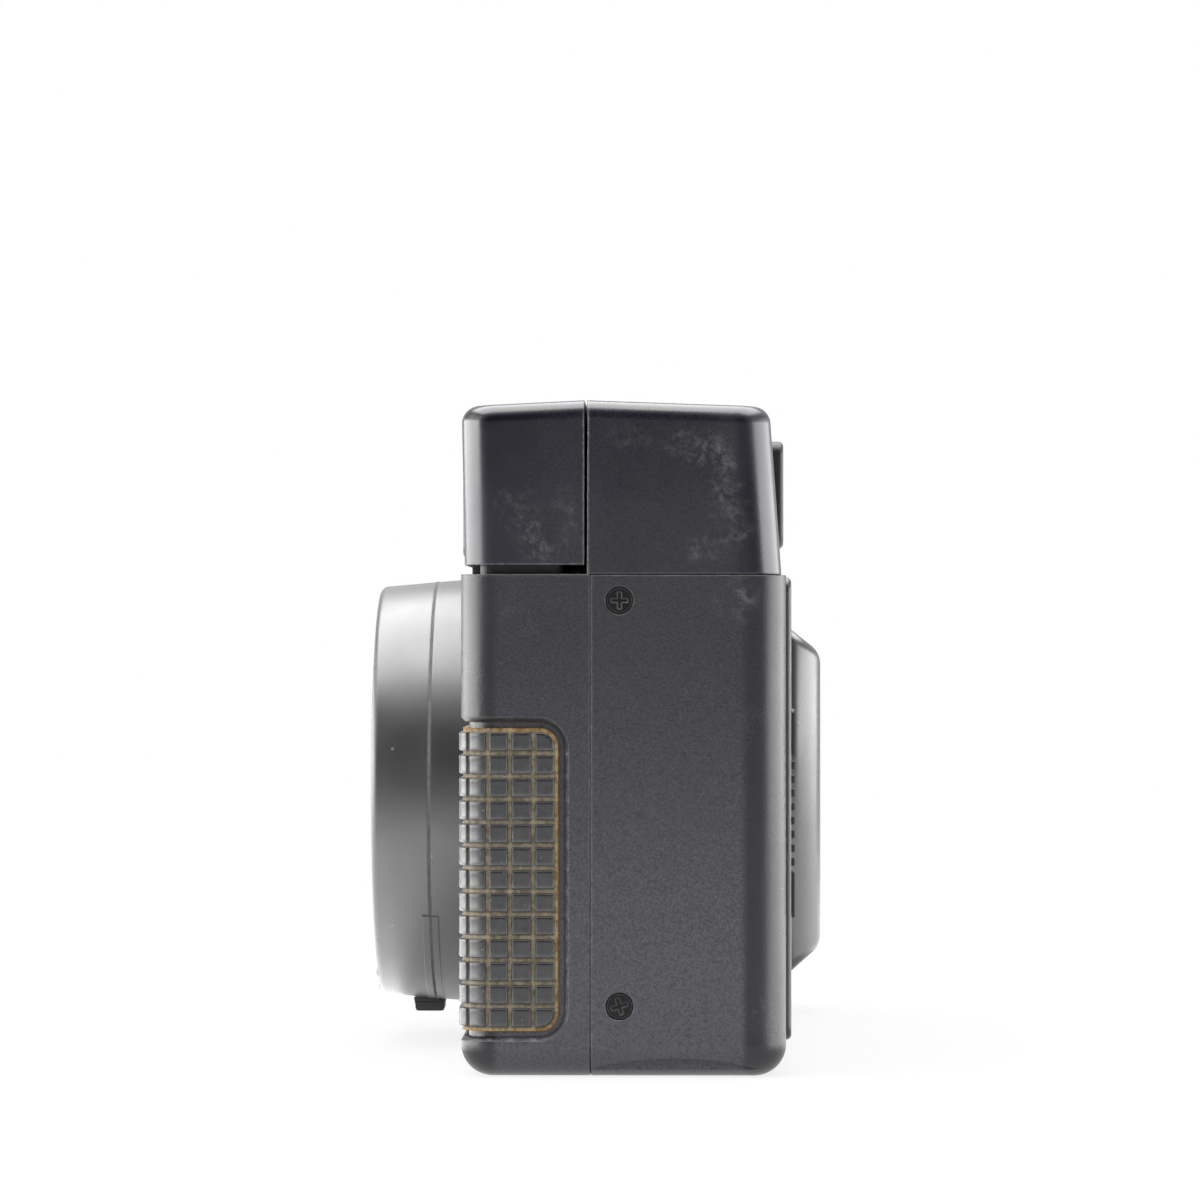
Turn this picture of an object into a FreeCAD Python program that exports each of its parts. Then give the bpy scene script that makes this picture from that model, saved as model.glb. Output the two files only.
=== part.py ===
import FreeCAD, Part
import os
import re
import Sketcher

# Compact 35 mm film camera with a pop-up flash, an autofocus lens and a hinged back door.
# Millimetres. +Z is up, the lens looks along -Y, the flash end is +X.
# The origin is the mouth of the tripod socket, on the plane the camera stands on.

doc = FreeCAD.newDocument("FilmCamera")
nodes = []

sizes = {
    # Walls and clearances
    "shell_wall": 1.8,
    "floor_wall": 2.6,
    "cover_wall": 1.6,
    "chamber_wall": 1.4,
    "fit_gap": 0.1,
    "slide_gap": 0.2,
    "running_gap": 0.06,
    "seam_gap": 0.1,
    "seam_front": 0.7,
    # Casing
    "body_front": 14.8,
    "corner_radius": 3.8,
    "bottom_radius": 3.4,
    "top_radius": 1.9,
    "cover_height": 18.8,
    "front_fall": 0.65,
    "rear_fall": 0.7,
    # Film chambers and gate
    "film_plane": 16.9,
    "gate_width": 36.0,
    "gate_height": 24.0,
    "gate_margin": 2.3,
    "gate_plate_edge": 1.5,
    "gate_plate_height": 38.0,
    "gate_thickness": 1.0,
    "rail_height": 0.4,
    "tunnel_front_width": 18.0,
    "tunnel_front_height": 14.0,
    "plate_half_height": 17.4,
    "cassette_radius": 13.2,
    "cassette_low": 6.4,
    "spool_chamber_radius": 9.6,
    "spool_radius": 5.7,
    "spool_flange": 1.0,
    "spool_rim": 1.2,
    "spool_shaft": 1.5,
    "fork_shaft": 2.0,
    "shaft_end": 0.8,
    "shaft_foot": 1.6,
    "sprocket_radius": 5.3,
    "sprocket_tooth": 1.1,
    "sprocket_teeth": 8,
    "sprocket_chamber_radius": 6.9,
    "hole_half_pitch": 14.1,
    "trap_height": 1.2,
    "trap_depth": 2.2,
    "trap_offset": 0.5,
    # Room for the flash capacitor between the film cassette and the end wall
    "capacitor_room": 12.1,
    # Battery bay
    "bay_wall": 0.8,
    "battery_door_thickness": 1.5,
    "battery_door_rise": 0.35,
    "battery_pin_radius": 0.7,
    # Back door
    "door_thickness": 1.7,
    "door_low": 3.7,
    "door_corner": 1.5,
    "hinge_radius": 2.1,
    "hinge_pin_radius": 0.8,
    "hinge_low": 12.0,
    "thumb_width": 18.0,
    "thumb_low": 3.9,
    "thumb_height": 5.6,
    "thumb_chamfer": 4.3,
    "latch_width": 4.4,
    "latch_length": 22.7,
    "latch_travel": 3.0,
    "latch_proud": 0.35,
    # Lens
    "barrel_rise": 4.2,
    "barrel_base_radius": 25.1,
    "barrel_length": 11.8,
    "groove_width": 0.3,
    "filter_depth": 3.2,
    "filter_wall": 1.35,
    "cell_radius": 11.0,
    "cell_back": 7.2,
    "front_lens_radius": 8.5,
    "front_lens_curve": 18.0,
    "rear_lens_radius": 6.0,
    "light_cell_place": 15.6,
    "light_cell_radius": 2.0,
    "aperture_radius": 5.2,
    "blade_chamber_front": 6.5,
    "blade_chamber_back": 5.5,
    "blade_thickness": 0.25,
    "blade_pivot_side": 4.0,
    "blade_pivot_drop": 10.5,
    "blade_pin_radius": 0.6,
    "speed_tab_width": 5.0,
    # Pop-up flash
    "flash_width": 34.3,
    "flash_gap": 1.0,
    "flash_seam": 0.3,
    "flash_back": 1.4,
    "flash_wall": 1.5,
    "flash_core_inset": 2.1,
    "flash_stem_width": 13.3,
    "flash_stem_length": 18.2,
    "release_radius": 2.4,
    "release_place": 5.5,
    "release_drop": 7.0,
    # Windows, viewfinder and top controls
    "finder_half_width": 7.5,
    "focus_window_radius": 4.8,
    "eyepiece_half_width": 8.5,
    "button_depth": 3.0,
    "button_radius": 5.0,
    "button_rise": 1.3,
    "counter_depth": 1.5,
    "counter_radius": 7.6,
    "timer_drop": 8.0,
    # Grip pads
    "pad_low": 5.2,
    "pad_height": 32.2,
    "pad_rear": 4.4,
    "pad_width": 28.5,
    "pad_recess": 0.9,
    "pad_proud": 0.25,
    "pad_gap": 0.9,
    "pad_corner": 2.0,
    "pad_lip": 0.45,
    "pad_rows": 13,
    "pad_groove": 0.45,
    "pad_groove_depth": 0.45,
    "pad_column_pitch": 2.5,
    "pad_front_columns": 10,
    "grip_edge": 2.0,
    "grip_width": 22.0,
    "grip_low": 5.2,
    "grip_thickness": 4.2,
    "grip_rows": 18,
    # Base
    "base_thickness": 1.1,
    "base_screw_inset": 4.0,
    "socket_radius": 4.8,
    "socket_height": 6.8,
    "socket_thread_radius": 2.6,
    "socket_thread_depth": 5.5,
    "boss_radius": 6.4,
    "arch_place": 8.3,
    "arch_height": 2.05,
    "arch_radius": 37.4,
    "arch_inset": 1.2,
    # Screws
    "screw_head_radius": 1.35,
    "screw_hole_radius": 1.5,
    "screw_head_height": 0.8,
    "screw_sink": 1.0,
    "screw_shank_radius": 0.8,
    "screw_low": 7.65,
    "screw_depth": 2.4,
}

# Places and sizes that follow from those above
places = {
    # along the film, from the gate outwards
    "gate_plate_width": "gate_width + 2 * gate_plate_edge",
    "cassette_place": "gate_width / 2 + gate_margin + cassette_radius",
    "body_side": "cassette_place + cassette_radius + chamber_wall + capacitor_room + shell_wall",
    "sprocket_place": "gate_plate_width / 2 + 4.5",
    "spool_place": "sprocket_place + spool_chamber_radius + 0.8",
    "bay_inner": "spool_place + spool_chamber_radius + 0.9",
    "bay_outer": "body_side - 2.5",
    "hinge_place": "body_side - hinge_radius - 0.5",
    "door_latch_end": "body_side - 4.4",
    "latch_place": "door_latch_end - 3.0",
    "thumb_outer": "body_side - 6.0",
    "thumb_inner": "thumb_outer - thumb_width",
    "pad_inner": "body_side - pad_width",
    "grip_outer": "body_side - grip_edge",
    "grip_inner": "grip_outer - grip_width",
    "flash_inner": "body_side - flash_width",
    "flash_stem_inner": "body_side - flash_stem_width",
    "panel_left": "body_side - 28.2",
    "panel_right": "flash_inner - 3.9",
    "focus_window_left": "panel_left - 9.8",
    "focus_window_right": "panel_right - 7.8",
    "button_place": "body_side - 15.0",
    "counter_place": "button_place - 18.0",
    "base_left": "bay_inner - 1.5",
    "base_right": "body_side - 6.0",
    # upwards, from the base over the lens barrel to the top cover
    "lens_height": "barrel_base_radius + barrel_rise",
    "film_height": "lens_height",
    "deck_height": "lens_height + barrel_base_radius - 0.2",
    "body_height": "deck_height + cover_height",
    "cassette_high": "deck_height - 2.6",
    "spool_low": "cassette_low + 1.6",
    "spool_high": "cassette_high - 1.2",
    "bay_high": "deck_height - 1.8",
    "door_high": "deck_height - 0.3",
    "hinge_high": "deck_height - 8.2",
    "thumb_high": "deck_height - 4.4",
    "latch_low": "lens_height - 12.4",
    "latch_high": "latch_low + latch_length",
    "flash_low": "deck_height + flash_gap",
    "flash_stem_low": "deck_height - flash_stem_length",
    "panel_low": "deck_height + 2.3",
    "panel_high": "body_height - 2.8",
    "finder_low": "panel_low + 2.1",
    "finder_high": "panel_high - 1.6",
    "eyepiece_low": "deck_height + 3.6",
    "eyepiece_high": "body_height - 2.6",
    "button_top": "body_height + button_rise",
    "pad_high": "pad_low + pad_height",
    "grip_high": "deck_height - 4.2",
    "screw_high": "deck_height - 2.85",
    "cover_under": "body_height - rear_fall - cover_wall",
    # backwards, from the film plane to the door
    "door_inner": "film_plane + 2.4",
    "door_outer": "door_inner + door_thickness",
    "body_back": "door_outer - 0.6",
    "cover_back_low": "body_back - 0.5",
    "cover_back_high": "body_back - 1.8",
    "eyepiece_back": "body_back + 0.55",
    "thumb_back": "door_outer + thumb_height",
    "hinge_depth": "body_back - 2.2",
    "bay_rear": "body_back - 3.8",
    "base_rear": "body_back - 4.2",
    "cassette_depth": "film_plane - 11.7",
    "spool_depth": "film_plane - 12.9",
    "sprocket_depth": "film_plane - 6.0",
    # forwards, from the front of the casing
    "flash_front_low": "body_front - 0.4",
    "flash_front_high": "body_front - 0.05",
    "panel_front": "body_front + 1.2",
    "panel_back": "body_front - 1.6",
    "bay_front": "body_front - 1.9",
    "base_front": "body_front - 4.4",
    "grip_front": "body_front + grip_thickness",
    "shutter_front": "body_front - 2.2",
    "cell_front": "body_front + 7.4",
    "barrel_groove": "body_front + 5.1",
    "barrel_front": "body_front + barrel_length",
    # radii of the lens pieces, from the barrel inwards
    "barrel_groove_radius": "barrel_base_radius - 0.4",
    "barrel_front_radius": "barrel_base_radius - 1.0",
    "filter_radius": "barrel_front_radius - filter_wall",
    "mount_hole_radius": "barrel_base_radius - 3.1",
    "barrel_bore": "mount_hole_radius - 0.5",
    "shutter_radius": "mount_hole_radius - 2.5",
    "blade_chamber_radius": "shutter_radius - 2.0",
    "speed_ring_radius": "barrel_bore - slide_gap",
    "speed_tab_low": "barrel_base_radius + 1.0",
}

# Every size goes into the sheet under its own name
sheet = doc.addObject("Spreadsheet::Sheet", "Sizes")
for row, (name, value) in enumerate(sizes.items(), 1):
    sheet.set("A" + str(row), name)
    sheet.set("B" + str(row), str(value))
    sheet.setAlias("B" + str(row), name)
doc.recompute()


def bound(text):
    """Write an expression with its places worked out and its sizes as references to the sheet."""
    def swap(found):
        name = found.group()
        if name in places:
            return "(" + bound(places[name]) + ")"
        return "Sizes." + name if name in sizes else name
    return re.sub(r"[a-z][a-z_]+", swap, text)


def mm(text):
    """Value of an expression now."""
    return float(sheet.evalExpression(bound(text)))


def bind(thing, place, text):
    thing.setExpression(place, bound(text))


def body(name):
    """Start a piece that is built from sketches."""
    piece = doc.addObject("PartDesign::Body", name)
    nodes.append(piece)
    return piece


def sketch_on(piece, plane, place):
    """Sketch parallel to an origin plane of the piece, at a distance along that plane's row axis."""
    sketch = piece.newObject("Sketcher::SketchObject", "Sketch")
    support = [part for part in piece.Origin.OriginFeatures if part.Role == plane + "_Plane"][0]
    sketch.AttachmentSupport = (support, [""])
    sketch.MapMode = "FlatFace"
    sign = "-1" if plane == "XZ" else "1"
    bind(sketch, "AttachmentOffset.Base.z", sign + " * (" + place + ")")
    return sketch


def hold(sketch, kind, first, point, text):
    """Tie one coordinate of a sketch point to an expression."""
    number = sketch.addConstraint(Sketcher.Constraint(kind, -1, 1, first, point, mm(text)))
    bind(sketch, "Constraints[" + str(number) + "]", text)


def hold_radius(sketch, index, text):
    number = sketch.addConstraint(Sketcher.Constraint("Radius", index, mm(text)))
    bind(sketch, "Constraints[" + str(number) + "]", text)


def polygon(*points):
    """Closed outline of straight lines through points given as pairs of expressions."""
    def draw(sketch):
        first = sketch.GeometryCount
        count = len(points)
        places = [FreeCAD.Vector(mm(u), mm(v), 0) for u, v in points]
        for index in range(count):
            sketch.addGeometry(Part.LineSegment(places[index], places[(index + 1) % count]), False)
        for index in range(count):
            following = first + (index + 1) % count
            sketch.addConstraint(Sketcher.Constraint("Coincident", first + index, 2, following, 1))
        for index, (u, v) in enumerate(points):
            hold(sketch, "DistanceX", first + index, 1, u)
            hold(sketch, "DistanceY", first + index, 1, v)
    return draw


def outline(points, radii={}):
    """Closed outline of level and upright lines; radii rounds the corners it lists."""
    def draw(sketch):
        count = len(points)
        places = [FreeCAD.Vector(mm(u), mm(v), 0) for u, v in points]
        ways = [(places[(index + 1) % count] - places[index]).normalize() for index in range(count)]
        starts = []
        ends = []
        for index in range(count):
            radius = mm(radii[index]) if index in radii else 0
            ends.append(places[index] - ways[index - 1] * radius)
            starts.append(places[index] + ways[index] * radius)
        lines = []
        for index in range(count):
            finish = ends[(index + 1) % count]
            lines.append(sketch.addGeometry(Part.LineSegment(starts[index], finish), False))
            level = abs(ways[index].y) < 0.5
            sketch.addConstraint(Sketcher.Constraint("Horizontal" if level else "Vertical", lines[index]))
        for index in range(count):
            before = lines[index - 1]
            after = lines[index]
            if index not in radii:
                sketch.addConstraint(Sketcher.Constraint("Coincident", before, 2, after, 1))
                continue
            radius = mm(radii[index])
            centre = ends[index] + ways[index] * radius
            left_turn = ways[index - 1].cross(ways[index]).z > 0
            middle = places[index] - centre
            middle = centre + middle.normalize() * radius
            arc = sketch.addGeometry(Part.Arc(ends[index], middle, starts[index]), False)
            near, far = (1, 2) if left_turn else (2, 1)
            sketch.addConstraint(Sketcher.Constraint("Tangent", before, 2, arc, near))
            sketch.addConstraint(Sketcher.Constraint("Tangent", arc, far, after, 1))
            hold_radius(sketch, arc, radii[index])
        for index, (u, v) in enumerate(points):
            if abs(ways[index].y) < 0.5:
                hold(sketch, "DistanceY", lines[index], 1, v)
            else:
                hold(sketch, "DistanceX", lines[index], 1, u)
    return draw


def rectangle(u_low, v_low, u_high, v_high, radius=None):
    corners = [(u_low, v_low), (u_high, v_low), (u_high, v_high), (u_low, v_high)]
    return outline(corners, {index: radius for index in range(4)} if radius else {})


def circle(u, v, radius):
    def draw(sketch):
        index = sketch.addGeometry(Part.Circle(FreeCAD.Vector(mm(u), mm(v), 0), FreeCAD.Vector(0, 0, 1), mm(radius)))
        hold(sketch, "DistanceX", index, 3, u)
        hold(sketch, "DistanceY", index, 3, v)
        hold_radius(sketch, index, radius)
    return draw


def both(*draws):
    def draw(sketch):
        for each in draws:
            each(sketch)
    return draw


def prism(piece, plane, low, high, draw, cut=False):
    """Pad or pocket an outline between two places along the plane's row axis."""
    starts_high = cut != (plane == "XZ")
    sketch = sketch_on(piece, plane, high if starts_high else low)
    draw(sketch)
    feature = piece.newObject("PartDesign::Pocket" if cut else "PartDesign::Pad", "Pocket" if cut else "Pad")
    feature.Profile = sketch
    bind(feature, "Length", "(" + high + ") - (" + low + ")")
    doc.recompute()
    return feature


def pocket(piece, plane, low, high, draw):
    """Cut between two places, and say so if nothing was there to cut."""
    before = piece.Shape.Volume
    feature = prism(piece, plane, low, high, draw, cut=True)
    if piece.Shape.Volume > before - 1e-6:
        print("nothing cut:", piece.Label, feature.Name)
    return feature


def turned(piece, points, plane="XY", cut=False):
    """Turn an outline of (radius, place) pairs about the piece's own axis."""
    sketch = sketch_on(piece, plane, "0")
    polygon(*points)(sketch)
    feature = piece.newObject("PartDesign::Groove" if cut else "PartDesign::Revolution", "Turned")
    feature.Profile = sketch
    feature.ReferenceAxis = (sketch, ["V_Axis"])
    feature.Angle = 360
    doc.recompute()
    return feature


def fillet(piece, radius, chosen, kind="Fillet"):
    """Round or bevel the edges of the piece that the test picks."""
    base = piece.Tip
    names = ["Edge" + str(n + 1) for n, edge in enumerate(base.Shape.Edges) if chosen(edge)]
    feature = piece.newObject("PartDesign::" + kind, kind)
    feature.Base = (base, names)
    bind(feature, "Radius" if kind == "Fillet" else "Size", radius)
    doc.recompute()
    return feature


def place(piece, x="0", y="0", z="0"):
    for axis, text in (("x", x), ("y", y), ("z", z)):
        bind(piece, "Placement.Base." + axis, text)


def near(value, text):
    return abs(value - mm(text)) < 0.01


def upright(edge, x=None, y=None):
    """Is this a vertical edge at the given place?"""
    box = edge.BoundBox
    if box.XLength > 0.01 or box.YLength > 0.01:
        return False
    return (x is None or near(box.XMin, x)) and (y is None or near(box.YMin, y))


def flat_at(edge, z):
    box = edge.BoundBox
    return box.ZLength < 0.01 and near(box.ZMin, z)


def block(name, low, high):
    """Plain box between two corners."""
    box = doc.addObject("Part::Box", name)
    for axis, side, start, end in zip("xyz", ("Length", "Width", "Height"), low, high):
        bind(box, "Placement.Base." + axis, start)
        bind(box, side, "(" + end + ") - (" + start + ")")
    return box


TURNS = {
    "X": FreeCAD.Rotation(FreeCAD.Vector(0, 1, 0), 90),
    "Y": FreeCAD.Rotation(FreeCAD.Vector(1, 0, 0), -90),
    "Z": FreeCAD.Rotation(),
}


def rod(name, axis, start, radius, length):
    """Plain cylinder that runs along a row axis from its start point."""
    cylinder = doc.addObject("Part::Cylinder", name)
    cylinder.Placement = FreeCAD.Placement(FreeCAD.Vector(), TURNS[axis])
    place(cylinder, *start)
    bind(cylinder, "Radius", radius)
    bind(cylinder, "Height", length)
    return cylinder


def joined(name, parts):
    fusion = doc.addObject("Part::MultiFuse", name)
    fusion.Shapes = parts
    return fusion


def grouped(name, parts):
    group = doc.addObject("Part::Compound", name)
    group.Links = parts
    return group


def less(name, base, tool):
    result = doc.addObject("Part::Cut", name)
    result.Base = base
    result.Tool = tool
    return result


def shared(name, base, tool):
    result = doc.addObject("Part::Common", name)
    result.Base = base
    result.Tool = tool
    return result


def keep(thing):
    nodes.append(thing)
    return thing


# Main body: rear casing, film chambers, battery bay and deck in one moulding
def make_main_body():
    piece = body("main_body")
    half = "body_side"
    prism(piece, "XY", "0", "deck_height - fit_gap", rectangle("-" + half, "-seam_front", half, "body_back"))
    fillet(piece, "corner_radius", lambda edge: upright(edge, y="body_back"))
    fillet(piece, "bottom_radius", lambda edge: flat_at(edge, "0") and edge.BoundBox.YMax > -mm("seam_front") + 0.1)
    # chamber fronts, which stand forward into the front shell
    top = "deck_height - fit_gap"
    prism(piece, "XY", "floor_wall + fit_gap", top,
          circle("cassette_place", "cassette_depth", "cassette_radius + chamber_wall"))
    prism(piece, "XY", "floor_wall + fit_gap", top,
          circle("-spool_place", "spool_depth", "spool_chamber_radius + chamber_wall"))
    # ceiling and inner wall of the battery bay
    prism(piece, "XY", "bay_high", top,
          rectangle("-bay_outer - bay_wall / 2", "-bay_front + fit_gap", "-bay_inner + bay_wall", "0"))
    prism(piece, "XY", "floor_wall + fit_gap", "bay_high",
          rectangle("-bay_inner", "-bay_front + fit_gap", "-bay_inner + bay_wall", "0"))
    # seat of the back door, open to the hinge side
    prism_low = "door_low - slide_gap"
    pocket(piece, "XY", prism_low, "deck_height",
           rectangle("-body_side - 1", "door_inner - slide_gap", "door_latch_end + slide_gap", "body_back + 1"))
    # hollow behind the film, between the chambers
    pocket(piece, "XY", "cassette_low", "cassette_high",
           rectangle("-spool_place - spool_chamber_radius", "film_plane - gate_thickness / 2 - rail_height",
                     "cassette_place + cassette_radius", "door_inner"))
    # cassette chamber
    pocket(piece, "XY", "cassette_low", "cassette_high",
           circle("cassette_place", "cassette_depth", "cassette_radius"))
    pocket(piece, "XY", "cassette_low", "cassette_high",
           rectangle("cassette_place - cassette_radius", "cassette_depth", "cassette_place + cassette_radius",
                     "door_inner"))
    # take-up chamber and the sprocket's own hollow beside it
    pocket(piece, "XY", "spool_low", "spool_high",
           circle("-spool_place", "spool_depth", "spool_chamber_radius"))
    pocket(piece, "XY", "spool_low", "spool_high",
           rectangle("-spool_place - spool_chamber_radius", "spool_depth", "-spool_place + spool_chamber_radius",
                     "door_inner"))
    pocket(piece, "XY", "spool_low", "spool_high",
           circle("-sprocket_place", "sprocket_depth", "sprocket_chamber_radius"))
    # light tunnel from the film gate to the shutter
    back = sketch_on(piece, "XZ", "film_plane - gate_thickness")
    rectangle("-gate_width / 2", "film_height - gate_height / 2", "gate_width / 2",
              "film_height + gate_height / 2")(back)
    front = sketch_on(piece, "XZ", "-seam_front - 0.1")
    rectangle("-tunnel_front_width / 2", "film_height - tunnel_front_height / 2", "tunnel_front_width / 2",
              "film_height + tunnel_front_height / 2")(front)
    tunnel = piece.newObject("PartDesign::SubtractiveLoft", "LightTunnel")
    tunnel.Profile = back
    tunnel.Sections = [front]
    tunnel.Ruled = True
    doc.recompute()
    # seat of the gate plate
    pocket(piece, "XZ", "film_plane - gate_thickness", "film_plane",
           rectangle("-gate_plate_width / 2 - fit_gap", "film_height - gate_plate_height / 2 - fit_gap",
                     "gate_plate_width / 2 + fit_gap", "film_height + gate_plate_height / 2 + fit_gap"))
    # battery bay
    pocket(piece, "XY", "0 - 1", "bay_high",
           rectangle("-bay_outer", "-body_front", "-bay_inner", "bay_rear"))
    # hollow for the flash capacitor at the flash end
    pocket(piece, "XY", "floor_wall", "cassette_high",
           rectangle("cassette_place + cassette_radius + chamber_wall", "-seam_front - 0.1",
                     "body_side - shell_wall", "door_inner - 2 * shell_wall"))
    # light trap grooves above and below the film
    for low in ("cassette_high + trap_offset", "cassette_low - trap_offset - trap_height"):
        pocket(piece, "XZ", "door_inner - trap_depth", "door_inner",
               rectangle("-spool_place - spool_chamber_radius", low, "cassette_place + cassette_radius",
                         low + " + trap_height"))
    # clearance for the hinge knuckle and the door as it turns
    pocket(piece, "XY", "hinge_low - slide_gap", "hinge_high + slide_gap",
           rectangle("-body_side - 1", "hinge_depth - hinge_radius - 0.3", "-hinge_place + hinge_radius + 0.3",
                     "body_back + 1"))
    # hole of the hinge pin in the lugs above and below the knuckle
    pocket(piece, "XY", "0", "deck_height", circle("-hinge_place", "hinge_depth", "hinge_pin_radius"))
    # boss of the tripod socket, and the recess of the base plate
    prism(piece, "XY", "base_thickness", "socket_height + 1.2", circle("0", "0", "boss_radius"))
    pocket(piece, "XY", "-1", "base_thickness",
           rectangle("-base_left - fit_gap", "-base_front", "base_right + fit_gap", "base_rear + fit_gap"))
    pocket(piece, "XY", "0", "socket_height", circle("0", "0", "socket_radius"))
    # bearings of the rewind fork, the spool and the sprocket through the deck
    bearings = both(circle("cassette_place", "cassette_depth", "fork_shaft + running_gap"),
                    circle("-spool_place", "spool_depth", "spool_shaft + running_gap"),
                    circle("-sprocket_place", "sprocket_depth", "spool_shaft + running_gap"))
    pocket(piece, "XY", "spool_high - 0.5", "deck_height", bearings)
    pocket(piece, "XY", "spool_low - 2", "spool_low + 0.5",
           both(circle("-spool_place", "spool_depth", "spool_shaft + running_gap"),
                circle("-sprocket_place", "sprocket_depth", "spool_shaft + running_gap")))
    # shallow arch in the lower edge of the flash end
    side = "body_side"
    pocket(piece, "YZ", side + " - arch_inset", side + " + 1",
           circle("arch_place", "arch_height - arch_radius", "arch_radius"))
    # screw holes in the flash end
    for height in ("screw_low", "screw_high"):
        pocket(piece, "YZ", side + " - screw_sink", side, circle("screw_depth", height, "screw_hole_radius"))
        pocket(piece, "YZ", side + " - shell_wall - 1", side, circle("screw_depth", height, "screw_shank_radius"))
    # screw holes under the base plate and the trunnions of the battery door
    for x in ("-base_left + base_screw_inset", "base_right - base_screw_inset"):
        pocket(piece, "XY", "0", "5", circle(x, "base_rear - 3", "screw_shank_radius"))
    pocket(piece, "YZ", "-bay_outer - 0.6", "-bay_inner + 0.6",
           circle("bay_rear - 1.2", "battery_door_rise + battery_door_thickness / 2",
                  "battery_pin_radius + running_gap"))
    return piece


# Front shell: front half of the casing with the lens opening
def make_front_shell():
    piece = body("front_shell")
    half = "body_side"
    seam = "-seam_front - seam_gap"
    prism(piece, "XY", "0", "deck_height", rectangle("-" + half, "-body_front", half, seam))
    fillet(piece, "corner_radius", lambda edge: upright(edge, y="-body_front"))
    fillet(piece, "bottom_radius", lambda edge: flat_at(edge, "0") and edge.BoundBox.YMin < mm(seam) - 0.1)
    pocket(piece, "XY", "floor_wall", "deck_height + 1",
           rectangle("-" + half + " + shell_wall", "-body_front + shell_wall", half + " - shell_wall",
                     seam + " + 1"))
    pocket(piece, "XZ", "-body_front - 1", "-body_front + shell_wall + 1",
           circle("0", "lens_height", "mount_hole_radius"))
    # recess of the grip pad, round the corner of the flash end
    pocket(piece, "XY", "pad_low - pad_gap", "pad_high + pad_gap", pad_ring("-pad_gap", "0", "2"))
    fillet(piece, "pad_corner + pad_gap", lambda edge: pad_corner_edge(edge, "pad_gap"))
    fillet(piece, "pad_lip", pad_lip_edge, "Chamfer")
    # recess of the base plate and opening of the battery bay
    pocket(piece, "XY", "-1", "base_thickness",
           rectangle("-base_left - fit_gap", "-base_front - fit_gap", "base_right + fit_gap", "0"))
    pocket(piece, "XY", "-1", "floor_wall + 1",
           rectangle("-bay_outer", "-bay_front", "-bay_inner", "0"))
    pocket(piece, "XY", "0", "floor_wall", circle("0", "0", "boss_radius + fit_gap"))
    for x in ("-base_left + base_screw_inset", "base_right - base_screw_inset"):
        pocket(piece, "XY", "0", "floor_wall", circle(x, "-base_front + 3", "screw_shank_radius"))
    # holes of the flash release and of the self-timer
    pocket(piece, "XZ", "-body_front - 1", "-body_front + shell_wall + 1",
           circle("flash_inner + release_place", "deck_height - release_drop", "release_radius + slide_gap / 2"))
    pocket(piece, "XZ", "-body_front - 1", "-body_front + shell_wall + 1",
           circle("-spool_place + 2", "deck_height - timer_drop", "1.0 + running_gap"))
    return piece


def pad_ring(margin, inside, outside):
    """Plan of a band that wraps the front corner at the flash end.

    margin moves the two ends, inside and outside are measured from the bottom of the pad's recess."""
    side = "body_side - pad_recess"
    front = "-body_front + pad_recess"
    inner_corner = "corner_radius - pad_recess + (" + inside + ")"
    points = [
        (side + " + (" + inside + ")", "-pad_rear - (" + margin + ")"),
        (side + " + (" + inside + ")", front + " - (" + inside + ")"),
        ("pad_inner + (" + margin + ")", front + " - (" + inside + ")"),
        ("pad_inner + (" + margin + ")", front + " - (" + outside + ")"),
        (side + " + (" + outside + ")", front + " - (" + outside + ")"),
        (side + " + (" + outside + ")", "-pad_rear - (" + margin + ")"),
    ]
    outer_corner = "corner_radius - pad_recess + (" + outside + ")"
    return outline(points, {1: inner_corner, 4: outer_corner})


def pad_corner_edge(edge, margin):
    """Is this one of the four short edges at the pad's or its recess's corners?"""
    box = edge.BoundBox
    level = near(box.ZMin, "pad_low - (" + margin + ")") or near(box.ZMin, "pad_high + (" + margin + ")")
    if not level or box.ZLength > 0.01:
        return False
    at_rear = box.YLength < 0.01 and near(box.YMin, "-pad_rear + (" + margin + ")")
    at_inner = box.XLength < 0.01 and near(box.XMin, "pad_inner - (" + margin + ")")
    return at_rear or at_inner


def pad_lip_edge(edge):
    """Is this edge on the casing's outside, round the recess of the pad?"""
    box = edge.BoundBox
    low, high = mm("pad_low - pad_gap") - 0.01, mm("pad_high + pad_gap") + 0.01
    if box.ZMin < low or box.ZMax > high or box.XMin < mm("pad_inner - pad_gap") - 0.01:
        return False
    middle = edge.valueAt((edge.FirstParameter + edge.LastParameter) / 2)
    side, front = mm("body_side"), mm("-body_front")
    round_x, round_y = side - mm("corner_radius"), front + mm("corner_radius")
    if middle.x > round_x and middle.y < round_y:
        reach = ((middle.x - round_x) ** 2 + (middle.y - round_y) ** 2) ** 0.5
        return abs(reach - mm("corner_radius")) < 0.01
    return abs(middle.x - side) < 0.01 or abs(middle.y - front) < 0.01


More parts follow.
